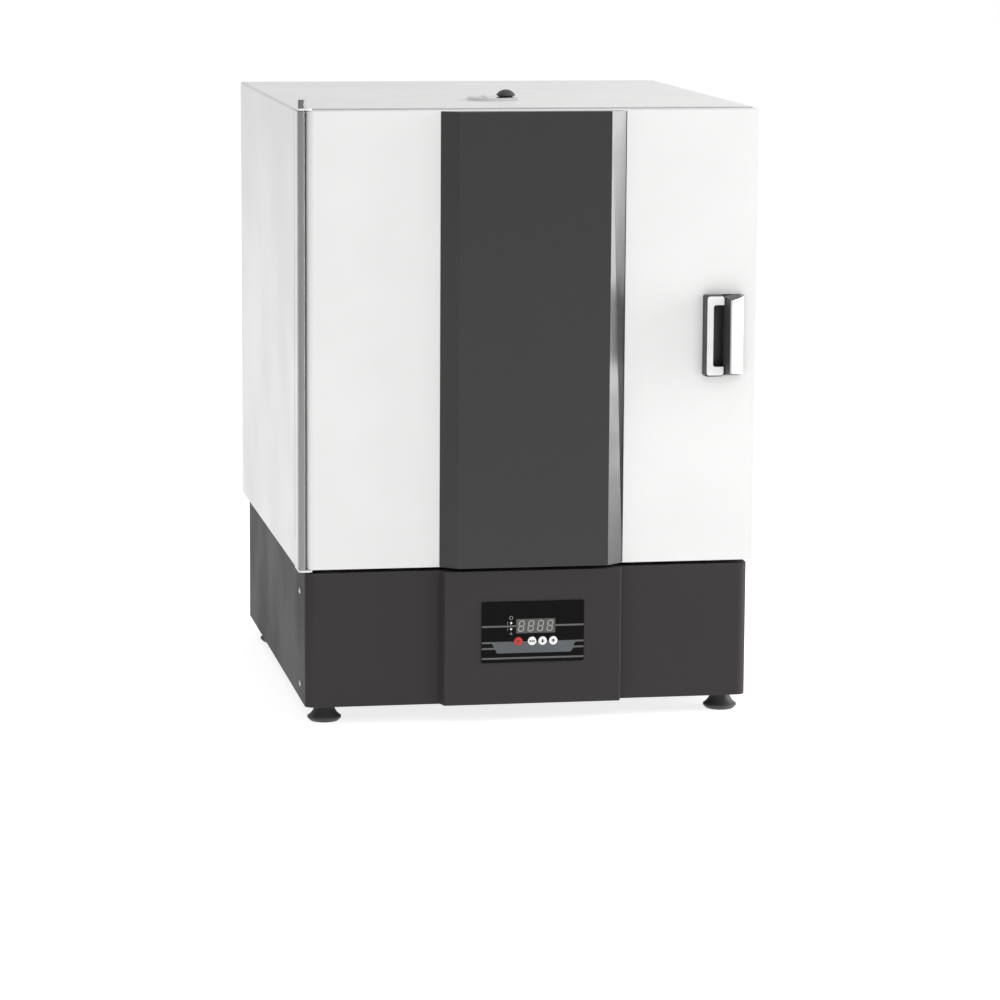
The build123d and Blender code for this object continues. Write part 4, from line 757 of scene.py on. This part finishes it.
def make_door_seal():
    """Bellows seal round the door's inner pan, swept from one folded profile."""
    low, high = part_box("door_gasket")
    front, rear = low.y / MM, high.y / MM
    left, right = low.x / MM, high.x / MM
    bottom, top = low.z / MM, high.z / MM
    deep = rear - front
    builder = bmesh.new()
    rows = []
    for inset, depth in SEAL_PROFILE:
        shift = inset * SEAL_WIDTH
        radius = max(SEAL_CORNER - shift, SEAL_INNER_CORNER)
        outline = corner_arcs(left + shift, right - shift, bottom + shift, top - shift, radius)
        y = rear - depth * deep
        rows.append([builder.verts.new((x * MM, y * MM, z * MM)) for x, z in outline])
    for a, b in zip(rows, rows[1:] + rows[:1]):
        count = len(a)
        for i in range(count):
            j = (i + 1) % count
            builder.faces.new((a[i], a[j], b[j], b[i]))
    seal = place(builder, "door_seal_bellows", "seal_rubber", "door", "seal_rubber", smooth=True)
    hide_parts("door_gasket")


def corner_arcs(x0, x1, z0, z1, radius, steps=6):
    """Rectangle outline with true quarter-round corners."""
    outline = []
    for cx, cz, start in ((x1 - radius, z1 - radius, 0), (x0 + radius, z1 - radius, 90),
                          (x0 + radius, z0 + radius, 180), (x1 - radius, z0 + radius, 270)):
        for step in range(steps + 1):
            angle = math.radians(start + 90 * step / steps)
            outline.append((cx + radius * math.cos(angle), cz + radius * math.sin(angle)))
    return outline


# Studio


def make_floor():
    """Plain pale floor."""
    builder = bmesh.new()
    corners = rectangle(-FLOOR_REACH, FLOOR_REACH, -FLOOR_REACH, FLOOR_REACH)
    builder.faces.new([builder.verts.new((x, y, 0.0)) for x, y in corners])
    mesh = bpy.data.meshes.new("floor")
    builder.to_mesh(mesh)
    builder.free()
    finish = Finish("Pale floor", (0.45, 0.45, 0.45), 0.8, Emission_Strength=0.8)
    mottle = finish.use("mottle", Scale=1.5)["Value"]
    finish.tint(mottle, (0.43, 0.43, 0.43), 0.5)
    mesh.materials.append(finish.material)
    floor = bpy.data.objects.new("floor", mesh)
    bpy.context.scene.collection.objects.link(floor)


def softbox(name, place_at, aim, width, height, radiance):
    """Rectangular soft light of an even brightness."""
    data = bpy.data.lights.new(name, "AREA")
    data.shape = "RECTANGLE"
    data.size = width
    data.size_y = height
    data.energy = radiance * math.pi * width * height
    lamp = bpy.data.objects.new(name, data)
    lamp.location = place_at
    direction = Vector(aim) - Vector(place_at)
    lamp.rotation_euler = direction.to_track_quat("-Z", "Y").to_euler()
    bpy.context.scene.collection.objects.link(lamp)


def make_world(seen, lit):
    """White backdrop to the eye, softer as a light source."""
    world = bpy.data.worlds.new("Studio")
    world.use_nodes = True
    bpy.context.scene.world = world
    tree = world.node_tree
    tree.nodes.clear()
    path = add(tree, "ShaderNodeLightPath")
    to_eye = add(tree, "ShaderNodeBackground", {"Color": (1, 1, 1, 1), "Strength": seen})
    to_piece = add(tree, "ShaderNodeBackground", {"Color": (1, 1, 1, 1)})
    direction = add(tree, "ShaderNodeSeparateXYZ")
    tree.links.new(add(tree, "ShaderNodeTexCoord").outputs["Generated"],
                   direction.inputs["Vector"])
    strength = spread(tree, direction.outputs["X"], -0.8, 0.2, lit * LEFT_SHARE, lit)
    tree.links.new(strength, to_piece.inputs["Strength"])
    mix = add(tree, "ShaderNodeMixShader")
    end = add(tree, "ShaderNodeOutputWorld")
    tree.links.new(path.outputs["Is Camera Ray"], mix.inputs["Fac"])
    tree.links.new(to_piece.outputs["Background"], mix.inputs[1])
    tree.links.new(to_eye.outputs["Background"], mix.inputs[2])
    tree.links.new(mix.outputs["Shader"], end.inputs["Surface"])


def make_camera():
    """Camera at the photo's viewpoint."""
    data = bpy.data.cameras.new("Camera")
    data.sensor_fit = "HORIZONTAL"
    data.sensor_width = CAMERA_SENSOR
    data.lens = CAMERA_LENS
    data.clip_end = 60.0
    yaw, pitch, roll = CAMERA_YAW, CAMERA_PITCH, CAMERA_ROLL
    forward = Vector((math.sin(yaw) * math.cos(pitch), math.cos(yaw) * math.cos(pitch),
                      -math.sin(pitch)))
    level = Vector((math.cos(yaw), -math.sin(yaw), 0.0))
    up = level.cross(forward)
    right = level * math.cos(roll) + up * math.sin(roll)
    top = up * math.cos(roll) - level * math.sin(roll)
    matrix = Matrix((right, top, -forward)).transposed().to_4x4()
    matrix.translation = Vector(CAMERA_PLACE)
    camera = bpy.data.objects.new("Camera", data)
    camera.matrix_world = matrix
    bpy.context.scene.collection.objects.link(camera)
    bpy.context.scene.camera = camera


make_camera()
dress_cad_nodes()
make_plate_print()
make_display()
make_key_marks()
make_lever_painted_reflection()
make_panel_seam_shadows()
make_door_seal()
for folded_node in FOLDED_NODES:
    soften_edges(folded_node, FOLD_RADIUS)
for moulded_node in MOULDED_NODES:
    soften_edges(moulded_node, MOULD_RADIUS)
make_floor()
for box in SOFTBOXES:
    softbox(*box)
make_world(BACKDROP, STUDIO_LIGHT)
bpy.context.scene.view_settings.view_transform = "Standard"
